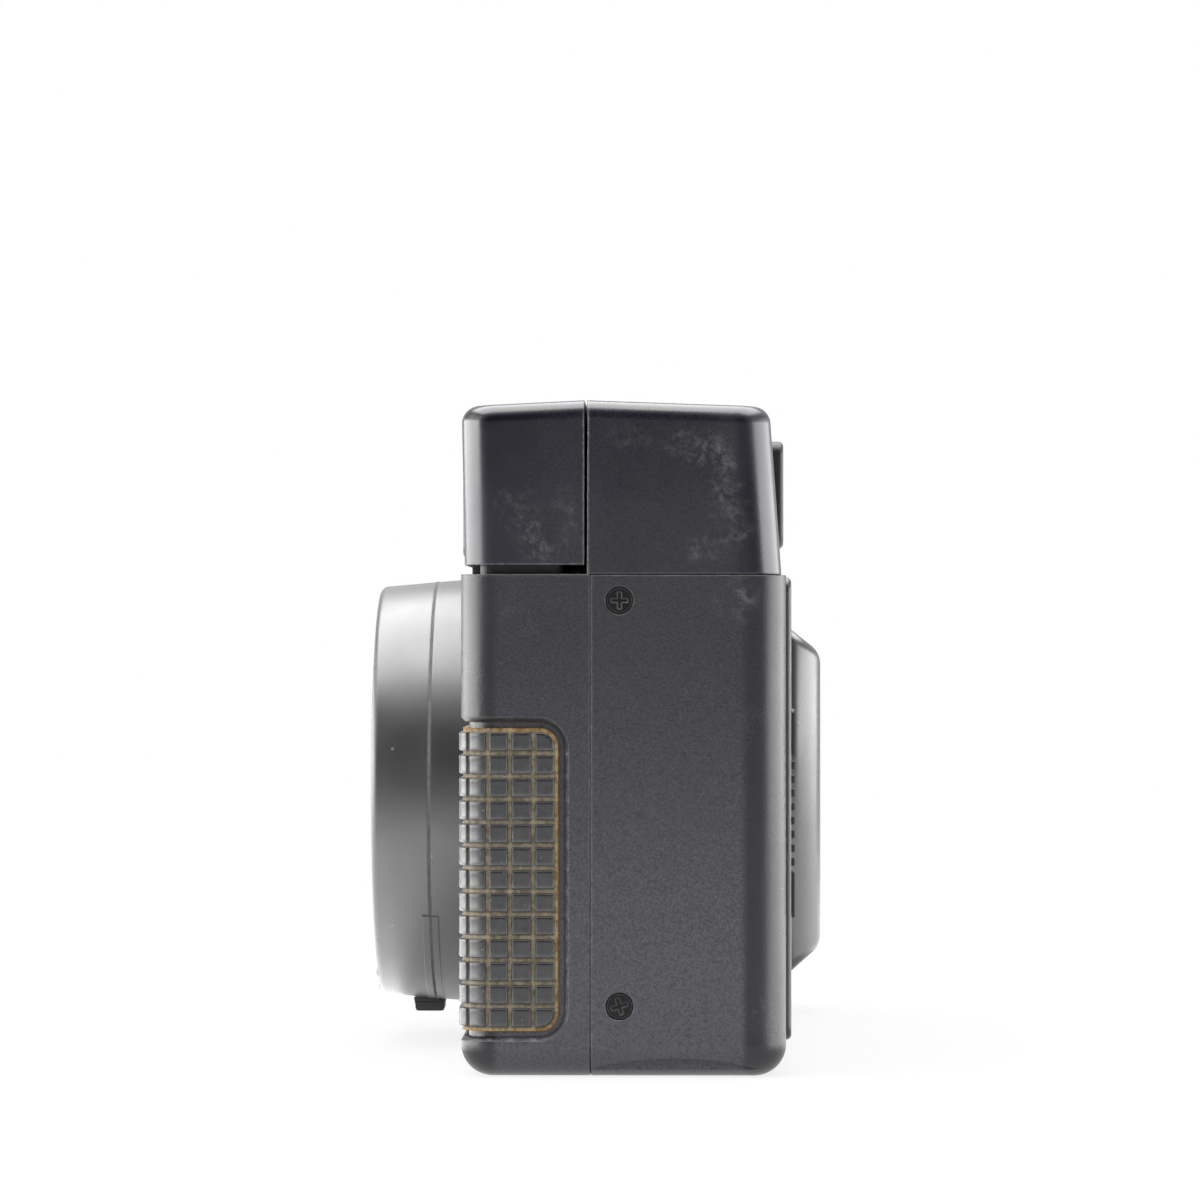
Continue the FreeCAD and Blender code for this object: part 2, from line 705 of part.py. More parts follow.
# Rubber pad with a moulded grid, wrapped round the corner of the flash end
def make_grip_pad_left():
    piece = body("grip_pad_left")
    thick = "pad_recess + pad_proud"
    prism(piece, "XY", "pad_low", "pad_high", pad_ring("0", "0", thick))
    fillet(piece, "pad_corner", lambda edge: pad_corner_edge(edge, "0"))
    step = "(pad_high - pad_low) / pad_rows"
    cut = pocket(piece, "XY", "pad_low + " + step + " - pad_groove / 2", "pad_low + " + step + " + pad_groove / 2",
                 pad_ring("-1", thick + " - pad_groove_depth", thick + " + 1"))
    repeat(piece, cut, "Z_Axis", "(pad_rows - 2) * " + step, "pad_rows - 1")
    # upright grooves on the end face, then on the front face
    side = "body_side + pad_proud"
    cut = pocket(piece, "YZ", side + " - pad_groove_depth", side + " + 1",
                 rectangle("-pad_rear - pad_column_pitch - pad_groove / 2", "pad_low - 1",
                           "-pad_rear - pad_column_pitch + pad_groove / 2", "pad_high + 1"))
    repeat(piece, cut, "Y_Axis", "pad_column_pitch * 2", "3", reverse=True)
    front = "-body_front - pad_proud"
    cut = pocket(piece, "XZ", front + " - 1", front + " + pad_groove_depth",
                 rectangle("pad_inner + pad_column_pitch - pad_groove / 2", "pad_low - 1",
                           "pad_inner + pad_column_pitch + pad_groove / 2", "pad_high + 1"))
    repeat(piece, cut, "X_Axis", "pad_column_pitch * (pad_front_columns - 1)", "pad_front_columns")
    return piece


def repeat(piece, feature, axis, length, count, reverse=False):
    """Linear pattern of a feature along an axis of the piece."""
    pattern = piece.newObject("PartDesign::LinearPattern", "Pattern")
    pattern.Originals = [feature]
    line = [part for part in piece.Origin.OriginFeatures if part.Role == axis][0]
    pattern.Direction = (line, [""])
    pattern.Reversed = reverse
    bind(pattern, "Length", length)
    bind(pattern, "Occurrences", count)
    piece.Tip = pattern
    doc.recompute()
    return pattern


# Hand grip on the front, under the shutter button
def make_hand_grip():
    piece = body("hand_grip")
    prism(piece, "XZ", "-grip_front", "-body_front",
          rectangle("-grip_outer", "grip_low", "-grip_inner", "grip_high", "corner_radius / 2"))
    fillet(piece, "corner_radius / 2", lambda edge: edge.BoundBox.YLength < 0.01 and near(edge.BoundBox.YMin, "-grip_front"))
    step = "(grip_high - grip_low) / grip_rows"
    cut = pocket(piece, "XY", "grip_low + 2 * " + step + " - pad_groove / 2",
                 "grip_low + 2 * " + step + " + pad_groove / 2",
                 rectangle("-grip_outer - 1", "-grip_front - 1", "-grip_inner + 1",
                           "-grip_front + pad_groove_depth"))
    repeat(piece, cut, "Z_Axis", "(grip_rows - 4) * " + step, "grip_rows - 3")
    return piece


# Top cover, crowned, with the corner left out where the flash sits
def make_top_cover():
    piece = body("top_cover")
    half = "body_side"
    crest = "-flash_back + flash_seam"
    prism(piece, "YZ", "-" + half, half,
          polygon(("-body_front", "deck_height"), ("cover_back_low", "deck_height"),
                  ("cover_back_high", "body_height - rear_fall"), (crest, "body_height"),
                  ("-body_front", "body_height - front_fall")))
    fillet(piece, "corner_radius",
           lambda edge: abs(edge.BoundBox.XMin) > mm(half) - 0.01 and edge.BoundBox.XLength < 0.01
           and edge.BoundBox.ZLength > 5)
    fillet(piece, "top_radius",
           lambda edge: edge.BoundBox.ZMin > mm("body_height - rear_fall") - 0.4 and not
           (abs(edge.BoundBox.YMin - mm(crest)) < 0.01 and edge.BoundBox.YLength < 0.01))
    # hollow, in the shape of an L round the flash
    side = "flash_inner - flash_seam"
    back = "-flash_back + flash_seam"
    pocket(piece, "XY", "deck_height - 1", "cover_under",
           outline([("-" + half + " + cover_wall", "-body_front + cover_wall"),
                    (side + " - cover_wall", "-body_front + cover_wall"),
                    (side + " - cover_wall", back + " + cover_wall"),
                    (half + " - cover_wall", back + " + cover_wall"),
                    (half + " - cover_wall", "cover_back_high - cover_wall"),
                    ("-" + half + " + cover_wall", "cover_back_high - cover_wall")]))
    pocket(piece, "XY", "deck_height - 1", "body_height + 1",
           rectangle(side, "-body_front - 1", half + " + 1", back))
    # openings of the window panel, the eyepiece, the button and the frame counter
    pocket(piece, "XZ", "-body_front - 1", "-body_front + cover_wall + 0.5",
           rectangle("-panel_left - fit_gap", "panel_low - fit_gap", "panel_right + fit_gap",
                     "panel_high + fit_gap"))
    pocket(piece, "XZ", "cover_back_high - cover_wall - 0.5", "body_back + 1",
           rectangle("-eyepiece_half_width - fit_gap", "eyepiece_low - fit_gap",
                     "eyepiece_half_width + fit_gap", "eyepiece_high + fit_gap"))
    pocket(piece, "XY", "cover_under - 0.5", "body_height + 1",
           both(circle("-button_place", "-button_depth", "button_radius + slide_gap / 2"),
                rectangle("-counter_place - 3", "counter_depth + 2.2", "-counter_place + 3",
                          "counter_depth + 6.2", "0.8")))
    return piece


# Base plate
def make_base_plate():
    piece = body("base_plate")
    prism(piece, "XY", "0", "base_thickness",
          rectangle("-base_left", "-base_front", "base_right", "base_rear", "1.5"))
    holes = [circle(x, y, "screw_hole_radius") for x in ("-base_left + base_screw_inset", "base_right - base_screw_inset")
             for y in ("-base_front + 3", "base_rear - 3")]
    pocket(piece, "XY", "-1", "base_thickness + 1",
           both(circle("0", "0", "socket_radius + fit_gap"),
                rectangle("cassette_place - 5", "4", "cassette_place + 5", "8.4", "0.6"), *holes))
    return piece


# Back door with its hinge knuckle and light trap ribs
def make_back_door():
    piece = body("back_door")
    hinge_side = "-hinge_place + hinge_radius + 0.4"
    prism(piece, "XZ", "door_inner", "door_outer",
          outline([(hinge_side, "door_low"), ("door_latch_end", "door_low"), ("door_latch_end", "door_high"),
                   (hinge_side, "door_high"), (hinge_side, "hinge_high"), ("-hinge_place", "hinge_high"),
                   ("-hinge_place", "hinge_low"), (hinge_side, "hinge_low")],
                  {1: "1.5", 2: "1.5"}))
    fillet(piece, "0.6", lambda edge: edge.BoundBox.YLength < 0.01 and near(edge.BoundBox.YMin, "door_outer")
           and edge.BoundBox.XMax > mm(hinge_side) + 0.5)
    prism(piece, "XY", "hinge_low", "hinge_high", circle("-hinge_place", "hinge_depth", "hinge_radius"))
    prism(piece, "XY", "hinge_low", "hinge_high",
          rectangle("-hinge_place", "hinge_depth", "-hinge_place + hinge_radius", "door_inner + 0.5"))
    pocket(piece, "XY", "hinge_low - 1", "hinge_high + 1",
           circle("-hinge_place", "hinge_depth", "hinge_pin_radius + running_gap"))
    for low in ("cassette_high + trap_offset + slide_gap", "cassette_low - trap_offset - trap_height + slide_gap"):
        prism(piece, "XZ", "door_inner - 1.4", "door_inner",
              rectangle("-spool_place - spool_chamber_radius + 0.4", low,
                        "cassette_place + cassette_radius - 0.4", low + " + trap_height - 2 * slide_gap"))
    # seat of the latch slide
    pocket(piece, "XZ", "door_inner + 0.6", "door_outer + 1",
           rectangle("latch_place - latch_width / 2 - slide_gap", "latch_low - latch_travel - slide_gap",
                     "latch_place + latch_width / 2 + slide_gap", "latch_high + slide_gap"))
    return piece


def make_thumb_rest():
    piece = body("thumb_rest")
    prism(piece, "YZ", "-thumb_outer", "-thumb_inner",
          polygon(("door_outer", "thumb_low"), ("thumb_back", "thumb_low + thumb_chamfer"),
                  ("thumb_back", "thumb_high - thumb_chamfer"), ("door_outer", "thumb_high")))
    fillet(piece, "1.4", lambda edge: edge.BoundBox.ZLength > 5 and near(edge.BoundBox.YMax, "thumb_back"))
    return piece


def make_door_latch():
    piece = body("door_latch")
    low = "latch_low"
    high = "latch_high"
    prism(piece, "XZ", "door_inner + 0.7", "door_outer + latch_proud",
          rectangle("latch_place - latch_width / 2", low, "latch_place + latch_width / 2", high, "0.8"))
    cut = pocket(piece, "XZ", "door_outer + latch_proud - 0.3", "door_outer + latch_proud + 1",
                 rectangle("latch_place - latch_width", low + " + 5", "latch_place + latch_width", low + " + 5.7"))
    repeat(piece, cut, "Z_Axis", "latch_high - latch_low - 10.7", "9")
    return piece


# Film path
def make_film_gate():
    piece = body("film_gate")
    front = "film_plane - gate_thickness"
    prism(piece, "XZ", front, "film_plane - rail_height",
          rectangle("-gate_plate_width / 2", "film_height - gate_plate_height / 2", "gate_plate_width / 2",
                    "film_height + gate_plate_height / 2", "1.0"))
    # inner and outer film rails, above and below the gate
    for near_side, width in (("gate_height / 2 + 1.0", "1.0"), ("gate_plate_height / 2 - 1.4", "0.9")):
        for sign in ("", "-"):
            low = "film_height + " + near_side if not sign else "film_height - (" + near_side + ") - " + width
            prism(piece, "XZ", "film_plane - rail_height", "film_plane",
                  rectangle("-gate_plate_width / 2", low, "gate_plate_width / 2", low + " + " + width))
    pocket(piece, "XZ", front + " - 1", "film_plane + 1",
           rectangle("-gate_width / 2", "film_height - gate_height / 2", "gate_width / 2",
                     "film_height + gate_height / 2"))
    return piece


def make_pressure_plate():
    piece = body("pressure_plate")
    prism(piece, "XZ", "film_plane + 0.25", "film_plane + 1.05",
          rectangle("-gate_plate_width / 2 - 1.5", "film_height - plate_half_height", "gate_plate_width / 2 + 1.5",
                    "film_height + plate_half_height", "1.2"))
    fillet(piece, "0.3", lambda edge: edge.BoundBox.YLength < 0.01 and near(edge.BoundBox.YMin, "film_plane + 0.25"))
    return piece


def make_take_up_spool():
    piece = body("take_up_spool")
    place(piece, "-spool_place", "spool_depth")
    low = "spool_low + slide_gap"
    high = "spool_high - slide_gap"
    foot = "spool_low - shaft_foot"
    end = "deck_height + shaft_end"
    flange = "spool_radius + spool_flange"
    turned(piece, [("0", foot), ("spool_shaft", foot), ("spool_shaft", low), (flange, low),
                   (flange, low + " + spool_rim"), ("spool_radius", low + " + spool_rim"),
                   ("spool_radius", high + " - spool_rim"), (flange, high + " - spool_rim"), (flange, high),
                   ("spool_shaft", high), ("spool_shaft", end), ("0", end)], "XZ")
    # slots that take the film's leader
    pocket(piece, "XY", "film_height - 15", "film_height + 15",
           both(rectangle("spool_radius - 1.2", "-1.6", "spool_radius + 3", "-0.6"),
                rectangle("-spool_radius - 3", "0.6", "-spool_radius + 1.2", "1.6")))
    return piece


def make_sprocket():
    piece = body("sprocket")
    place(piece, "-sprocket_place", "sprocket_depth")
    low = "spool_low + slide_gap"
    high = "spool_high - slide_gap"
    foot = "spool_low - shaft_foot"
    end = "deck_height + shaft_end"
    neck = "sprocket_radius - 1.4"
    turned(piece, [("0", foot), ("spool_shaft", foot), ("spool_shaft", low), ("sprocket_radius", low),
                   ("sprocket_radius", "film_height - hole_half_pitch + 1.6"),
                   (neck, "film_height - hole_half_pitch + 2.4"), (neck, "film_height + hole_half_pitch - 2.6"),
                   ("sprocket_radius", "film_height + hole_half_pitch - 1.8"), ("sprocket_radius", high),
                   ("spool_shaft", high), ("spool_shaft", end), ("0", end)], "XZ")
    originals = []
    for height in ("film_height - hole_half_pitch", "film_height + hole_half_pitch"):
        tip = "sprocket_radius + sprocket_tooth"
        originals.append(prism(piece, "XY", height + " - 0.9", height + " + 0.9",
                               polygon(("sprocket_radius - 0.4", "-0.8"), (tip, "-0.4"), (tip, "0.4"),
                                       ("sprocket_radius - 0.4", "0.8"))))
    pattern = piece.newObject("PartDesign::PolarPattern", "Teeth")
    pattern.Originals = originals
    line = [part for part in piece.Origin.OriginFeatures if part.Role == "Z_Axis"][0]
    pattern.Axis = (line, [""])
    pattern.Angle = 360
    bind(pattern, "Occurrences", "sprocket_teeth")
    piece.Tip = pattern
    doc.recompute()
    return piece


def make_rewind_fork():
    piece = body("rewind_fork")
    place(piece, "cassette_place", "cassette_depth")
    turned(piece, [("0", "cassette_high - 4.5"), ("fork_shaft", "cassette_high - 4.5"),
                   ("fork_shaft", "deck_height + shaft_end"), ("0", "deck_height + shaft_end")], "XZ")
    prism(piece, "XY", "cassette_high - 6.5", "cassette_high - 3.5", rectangle("-fork_shaft - 0.6", "-0.6", "fork_shaft + 0.6", "0.6"))
    return piece


# Lens pieces, turned about the lens axis
def make_barrel_base():
    piece = body("barrel_base")
    place(piece, z="lens_height")
    turned(piece, [("barrel_bore", "-body_front + shell_wall"),
                   ("mount_hole_radius - fit_gap", "-body_front + shell_wall"),
                   ("mount_hole_radius - fit_gap", "-body_front"), ("barrel_base_radius", "-body_front"),
                   ("barrel_groove_radius", "-barrel_groove + groove_width / 2"),
                   ("barrel_bore", "-barrel_groove + groove_width / 2")])
    speed_slot(piece)
    return piece


def speed_slot(piece):
    """Opening under the barrel for the neck of the film speed lever."""
    pocket(piece, "XZ", "-barrel_groove - 0.8", "-barrel_groove + 0.8",
           rectangle("-12.4", "-barrel_base_radius - 1", "12.4", "-18.6"))


def make_barrel_front_ring():
    piece = body("barrel_front_ring")
    place(piece, z="lens_height")
    turned(piece, [("barrel_bore", "-barrel_groove - groove_width / 2"),
                   ("barrel_groove_radius - 0.03", "-barrel_groove - groove_width / 2"),
                   ("barrel_front_radius", "-barrel_front"), ("filter_radius", "-barrel_front"),
                   ("filter_radius", "-barrel_front + filter_depth"),
                   ("barrel_bore", "-barrel_front + filter_depth")])
    fillet(piece, "0.9", lambda edge: near(edge.BoundBox.YMin, "-barrel_front") and edge.BoundBox.YLength < 0.01
           and edge.BoundBox.XLength > 2 * mm("barrel_front_radius") - 0.1)
    speed_slot(piece)
    return piece


def make_film_speed_ring():
    piece = body("film_speed_ring")
    place(piece, z="lens_height")
    inner = "speed_ring_radius - 1.5"
    middle = "-barrel_groove"
    turned(piece, [(inner, middle + " - 1.1"), ("speed_ring_radius", middle + " - 1.1"),
                   ("speed_ring_radius", middle + " + 1.5"), (inner, middle + " + 1.5")])
    prism(piece, "XZ", middle + " - 0.6", middle + " + 0.6",
          rectangle("-1.3", "-barrel_base_radius - 0.2", "1.3", "-speed_ring_radius + 0.5"))
    prism(piece, "XY", "-speed_tab_low", "-barrel_groove_radius - 0.3",
          rectangle("-speed_tab_width / 2", middle + " - 2.6", "speed_tab_width / 2", middle + " + 0.8"))
    fillet(piece, "0.5", lambda edge: flat_at(edge, "-speed_tab_low"))
    return piece


def make_lens_bezel():
    piece = body("lens_bezel")
    place(piece, z="lens_height")
    seat = "-barrel_front + filter_depth"
    hole = "cell_radius + slide_gap"
    turned(piece, [("barrel_bore - fit_gap", seat + " + 1.0"), ("barrel_bore - fit_gap", seat + " + 0.1"),
                   ("barrel_bore - 1.2", seat + " + 0.1"), (hole, seat + " + 2.2"), (hole, seat + " + 3.0")])
    pocket(piece, "XZ", seat + " - 2", seat + " + 3", circle("0", "light_cell_place", "light_cell_radius"))
    return piece


def make_lens_cell():
    piece = body("lens_cell")
    place(piece, z="lens_height")
    turned(piece, [("cell_radius - 0.6", "-cell_front"), ("cell_radius", "-cell_front + 0.6"),
                   ("cell_radius", "-cell_back"), ("rear_lens_radius + 0.05", "-cell_back"),
                   ("rear_lens_radius + 0.05", "-cell_front + 4.6"),
                   ("front_lens_radius + 0.05", "-cell_front + 4.6"),
                   ("front_lens_radius + 0.05", "-cell_front + 1.0"),
                   ("front_lens_radius + 0.9", "-cell_front")])
    return piece


def make_front_lens():
    dome = doc.addObject("Part::Sphere", "FrontLensDome")
    bind(dome, "Radius", "front_lens_curve")
    place(dome, "0", "-cell_front + 0.7 + front_lens_curve", "lens_height")
    rim = rod("FrontLensRim", "Y", ("0", "-cell_front", "lens_height"), "front_lens_radius", "4.5")
    return keep(shared("front_lens", rim, dome))


def make_rear_lens():
    dome = doc.addObject("Part::Sphere", "RearLensDome")
    bind(dome, "Radius", "front_lens_curve")
    place(dome, "0", "-cell_back - 0.8 - front_lens_curve", "lens_height")
    rim = rod("RearLensRim", "Y", ("0", "-cell_back - 3.4", "lens_height"), "rear_lens_radius", "3.0")
    return keep(shared("rear_lens", rim, dome))


def make_shutter_housing():
    piece = body("shutter_housing")
    place(piece, z="lens_height")
    back = "-seam_front - seam_gap"
    turned(piece, [("cell_radius + slide_gap", "-shutter_front"), ("shutter_radius", "-shutter_front"),
                   ("shutter_radius", back), ("aperture_radius + 2", back), ("aperture_radius + 1", "-3"),
                   ("aperture_radius", "-blade_chamber_back"), ("blade_chamber_radius", "-blade_chamber_back"),
                   ("blade_chamber_radius", "-blade_chamber_front"),
                   ("cell_radius + slide_gap", "-blade_chamber_front")])
    for side in ("blade_pivot_side", "-blade_pivot_side"):
        prism(piece, "XZ", "-blade_chamber_front - 0.5", "-blade_chamber_back + 0.5",
              circle(side, "-blade_pivot_drop - 3", "0.4"))
    return piece


def make_shutter_blade(name, mirror, front):
    """One of the two blades that close the aperture, with its pivot hole."""
    piece = body(name)
    place(piece, z="lens_height")
    sign = "-1 * " if mirror else ""
    points = [("-0.5", "-6.2"), ("2.2", "-8.4"), ("2.4", "-12.0"), ("5.6", "-12.0"), ("6.6", "-6.0"),
              ("6.2", "6.0"), ("-0.5", "6.2")]
    prism(piece, "XZ", front, front + " + blade_thickness",
          polygon(*[(sign + "(" + u + ")", v) for u, v in points]))
    pocket(piece, "XZ", front + " - 1", front + " + 1",
           circle(sign + "blade_pivot_side", "-blade_pivot_drop", "blade_pin_radius + running_gap"))
    return piece


def make_blade_pins():
    pins = []
    for number, side in enumerate(("blade_pivot_side", "-blade_pivot_side")):
        pins.append(rod("BladePin" + str(number), "Y",
                        (side, "-blade_chamber_front", "lens_height - blade_pivot_drop"),
                        "blade_pin_radius", "blade_chamber_front - blade_chamber_back"))
    return keep(grouped("blade_pins", pins))


# Pop-up flash
def make_flash_housing():
    piece = body("flash_housing")
    half = "body_side"
    prism(piece, "YZ", "flash_inner", half,
          polygon(("-flash_front_low", "flash_low"), ("-flash_back", "flash_low"), ("-flash_back", "body_height"),
                  ("-flash_front_high", "body_height - front_fall")))
    fillet(piece, "corner_radius",
           lambda edge: near(edge.BoundBox.XMin, half) and edge.BoundBox.XLength < 0.01
           and edge.BoundBox.YMax < -mm("flash_front_low") + 0.1)
    fillet(piece, "top_radius",
           lambda edge: edge.BoundBox.ZMin > mm("body_height - front_fall") - 0.05
           and edge.BoundBox.YMin < -mm("flash_back") - 0.1 and edge.BoundBox.XMax > mm("flash_inner") + 0.1)
    pocket(piece, "XY", "flash_low - 1", "body_height - front_fall - flash_wall",
           rectangle("flash_inner + flash_wall", "-flash_front_low + flash_wall", half + " - flash_wall",
                     "-flash_back - flash_wall"))
    pocket(piece, "XZ", "-body_front - 1", "-flash_front_low + flash_wall + 0.5",
           rectangle("flash_inner + 3", "flash_low + 3", half + " - 4.5", "body_height - 3.6", "0.8"))
    return piece


def make_flash_core():
    piece = body("flash_core")
    half = "body_side"
    prism(piece, "XY", "deck_height + 0.3", "flash_low + 2.4",
          rectangle("flash_inner + flash_core_inset", "-body_front + flash_core_inset",
                    half + " - flash_core_inset", "-flash_back - flash_core_inset", "1.2"))
    prism(piece, "XY", "flash_stem_low", "deck_height + 0.5",
          rectangle("flash_stem_inner", "-body_front + flash_core_inset", half + " - flash_core_inset",
                    "-flash_back - flash_core_inset", "1.2"))
    return piece


def make_flash_lens():
    piece = body("flash_lens")
    half = "body_side"
    prism(piece, "XZ", "-flash_front_low + 0.1", "-flash_front_low + flash_wall",
          rectangle("flash_inner + 3.1", "flash_low + 3.1", half + " - 4.6", "body_height - 3.7", "0.7"))
    cut = pocket(piece, "XZ", "-flash_front_low + flash_wall - 0.5", "-flash_front_low + flash_wall + 1",
                 rectangle("flash_inner + 4", "flash_low + 2", "flash_inner + 4.8", "body_height"))
    repeat(piece, cut, "X_Axis", "body_side - flash_inner - 10.2", "15")
    return piece


def make_flash_reflector():
    piece = body("flash_reflector")
    left = "flash_inner + 3.6"
    right = "body_side - 5.2"
    mouth = "-flash_front_low + flash_wall + 0.2"
    low = "flash_low + 3.2"
    high = "body_height - 3.9"
    prism(piece, "YZ", left, right,
          polygon((mouth, low), (mouth + " + 3.5", low + " + 1.2"), (mouth + " + 6", low + " + 4"),
                  (mouth + " + 6", high + " - 4"), (mouth + " + 3.5", high + " - 1.2"), (mouth, high),
                  (mouth, high + " - 0.6"), (mouth + " + 3.1", high + " - 1.8"),
                  (mouth + " + 5.3", high + " - 4.3"), (mouth + " + 5.3", low + " + 4.3"),
                  (mouth + " + 3.1", low + " + 1.8"), (mouth, low + " + 0.6")))
    for start in (left, right + " - 0.6"):
        prism(piece, "YZ", start, start + " + 0.6",
              polygon((mouth, low), (mouth + " + 3.5", low + " + 1.2"), (mouth + " + 6", low + " + 4"),
                      (mouth + " + 6", high + " - 4"), (mouth + " + 3.5", high + " - 1.2"), (mouth, high)))
    return piece


def make_flash_tube():
    tube = rod("FlashTubeGlass", "X",
               ("flash_inner + 4.2", "-flash_front_low + flash_wall + 3.6", "(flash_low + body_height) / 2 - 0.35"),
               "1.4", "body_side - flash_inner - 10")
    tube.Label = "flash_tube"
    return keep(tube)


def make_flash_release():
    piece = body("flash_release")
    place(piece, "flash_inner + release_place", "0", "deck_height - release_drop")
    flange = "release_radius + 0.8"
    turned(piece, [("0", "-body_front - 0.3"), ("release_radius - 0.3", "-body_front - 0.3"),
                   ("release_radius", "-body_front"), ("release_radius", "-body_front + shell_wall + fit_gap"),
                   (flange, "-body_front + shell_wall + fit_gap"), (flange, "-body_front + shell_wall + 0.9"),
                   ("0", "-body_front + shell_wall + 0.9")])
    return piece


# Windows and viewfinder
def make_window_panel():
    piece = body("window_panel")
    prism(piece, "XZ", "-panel_front", "-panel_back",
          rectangle("-panel_left", "panel_low", "panel_right", "panel_high", "1.2"))
    fillet(piece, "0.5", lambda edge: edge.BoundBox.YLength < 0.01 and near(edge.BoundBox.YMin, "-panel_front"))
    windows = both(rectangle("-finder_half_width", "finder_low", "finder_half_width", "finder_high", "0.8"),
                   circle("-focus_window_left", "(panel_low + panel_high) / 2", "focus_window_radius"),
                   circle("focus_window_right", "(panel_low + panel_high) / 2", "focus_window_radius"))
    pocket(piece, "XZ", "-panel_front - 1", "-panel_back + 1", windows)
    return piece


def make_viewfinder_window():
    piece = body("viewfinder_window")
    prism(piece, "XZ", "-panel_front + 0.6", "-panel_front + 1.8",
          rectangle("-finder_half_width + fit_gap", "finder_low + fit_gap", "finder_half_width - fit_gap",
                    "finder_high - fit_gap", "0.7"))
    return piece


def make_focus_windows():
    windows = []
    for number, x in enumerate(("-focus_window_left", "focus_window_right")):
        windows.append(rod("FocusWindow" + str(number), "Y", (x, "-panel_front + 0.6", "(panel_low + panel_high) / 2"),
                           "focus_window_radius - fit_gap", "1.2"))
    return keep(grouped("focus_windows", windows))


def make_viewfinder_tube():
    piece = body("viewfinder_tube")
    prism(piece, "XZ", "-panel_back + fit_gap", "cover_back_high - 2.6",
          rectangle("-finder_half_width + 0.2", "deck_height + 0.2", "finder_half_width - 0.2", "finder_high + 0.8"))
    pocket(piece, "XZ", "-panel_back - 1", "cover_back_high",
           rectangle("-finder_half_width + 1.6", "finder_low + 0.6", "finder_half_width - 1.6", "finder_high - 0.6"))
    return piece


def make_eyepiece_frame():
    piece = body("eyepiece_frame")
    prism(piece, "XZ", "cover_back_high - 2.5", "eyepiece_back",
          rectangle("-eyepiece_half_width", "eyepiece_low", "eyepiece_half_width", "eyepiece_high", "1.6"))
    fillet(piece, "0.6", lambda edge: edge.BoundBox.YLength < 0.01 and near(edge.BoundBox.YMin, "eyepiece_back"))
    pocket(piece, "XZ", "0", "eyepiece_back + 1",
           rectangle("-eyepiece_half_width + 3.6", "eyepiece_low + 3.2", "eyepiece_half_width - 3.6",
                     "eyepiece_high - 3.2", "1.0"))
    return piece


def make_eyepiece_glass():
    piece = body("eyepiece_glass")
    prism(piece, "XZ", "eyepiece_back - 2.2", "eyepiece_back - 1.2",
          rectangle("-eyepiece_half_width + 3.7", "eyepiece_low + 3.3", "eyepiece_half_width - 3.7",
                    "eyepiece_high - 3.3", "0.9"))
    return piece


# Controls
def make_shutter_button():
    piece = body("shutter_button")
    place(piece, "-button_place", "-button_depth")
    under = "cover_under"
    turned(piece, [("0", "deck_height + 3"), ("1.6", "deck_height + 3"), ("1.6", under + " - 2.2"),
                   ("button_radius + 1", under + " - 1.4"), ("button_radius + 1", under + " - 0.2"),
                   ("button_radius", under + " - 0.2"), ("button_radius", "button_top - 0.6"),
                   ("button_radius - 0.6", "button_top"), ("0", "button_top - 0.4")], "XZ")
    return piece


def make_counter_dial():
    piece = body("counter_dial")
    place(piece, "-counter_place", "counter_depth")
    top = "cover_under - 0.4"
    turned(piece, [("0", "deck_height + 0.2"), ("1.2", "deck_height + 0.2"), ("1.2", top + " - 1.2"),
                   ("counter_radius", top + " - 1.2"), ("counter_radius", top), ("0", top)], "XZ")
    return piece


def make_counter_window():
    piece = body("counter_window")
    prism(piece, "XY", "cover_under", "body_height - 1.0",
          rectangle("-counter_place - 2.9", "counter_depth + 2.3", "-counter_place + 2.9", "counter_depth + 6.1",
                    "0.7"))
    return piece


def make_self_timer_lever():
    piece = body("self_timer_lever")
    place(piece, "-spool_place + 2", "0", "deck_height - timer_drop")
    turned(piece, [("0", "-body_front - 2.4"), ("2.4", "-body_front - 2.4"), ("2.8", "-body_front - 0.2"),
                   ("1.0", "-body_front - 0.2"), ("1.0", "-body_front + shell_wall + 0.6"),
                   ("0", "-body_front + shell_wall + 0.6")])
    prism(piece, "XZ", "-body_front - 1.9", "-body_front - 0.3", rectangle("-1.5", "-9", "1.5", "0"))
    return piece


# Base pieces
def make_tripod_socket():
    piece = body("tripod_socket")
    turned(piece, [("socket_thread_radius", "0"), ("socket_radius", "0"), ("socket_radius", "socket_height"),
                   ("0", "socket_height"), ("0", "socket_thread_depth"),
                   ("socket_thread_radius", "socket_thread_depth")], "XZ")
    return piece


def make_rewind_switch():
    piece = body("rewind_switch")
    prism(piece, "XY", "0.15", "base_thickness - 0.05",
          rectangle("cassette_place - 4.8", "4.2", "cassette_place - 0.4", "8.2", "0.5"))
    return piece


def make_battery_door():
    piece = body("battery_door")
    low = "battery_door_rise"
    high = "battery_door_rise + battery_door_thickness"
    prism(piece, "XY", low, high,
          rectangle("-bay_outer + slide_gap", "-bay_front + slide_gap", "-bay_inner - slide_gap",
                    "bay_rear - 1.2"))
    middle = "battery_door_rise + battery_door_thickness / 2"
    prism(piece, "YZ", "-bay_outer + slide_gap", "-bay_inner - slide_gap",
          circle("bay_rear - 1.2", middle, "battery_door_thickness / 2"))
    prism(piece, "YZ", "-bay_outer - 0.4", "-bay_inner + 0.4", circle("bay_rear - 1.2", middle, "battery_pin_radius"))
    return piece


def make_battery_contacts():
    strips = []
    for number, y in enumerate(("-bay_front + 7.6", "bay_rear - 7.6")):
        strips.append(rod("BatteryContact" + str(number), "Z",
                          ("-(bay_inner + bay_outer) / 2", y, "bay_high - 0.7"), "4.5", "0.6"))
    return keep(grouped("battery_contacts", strips))


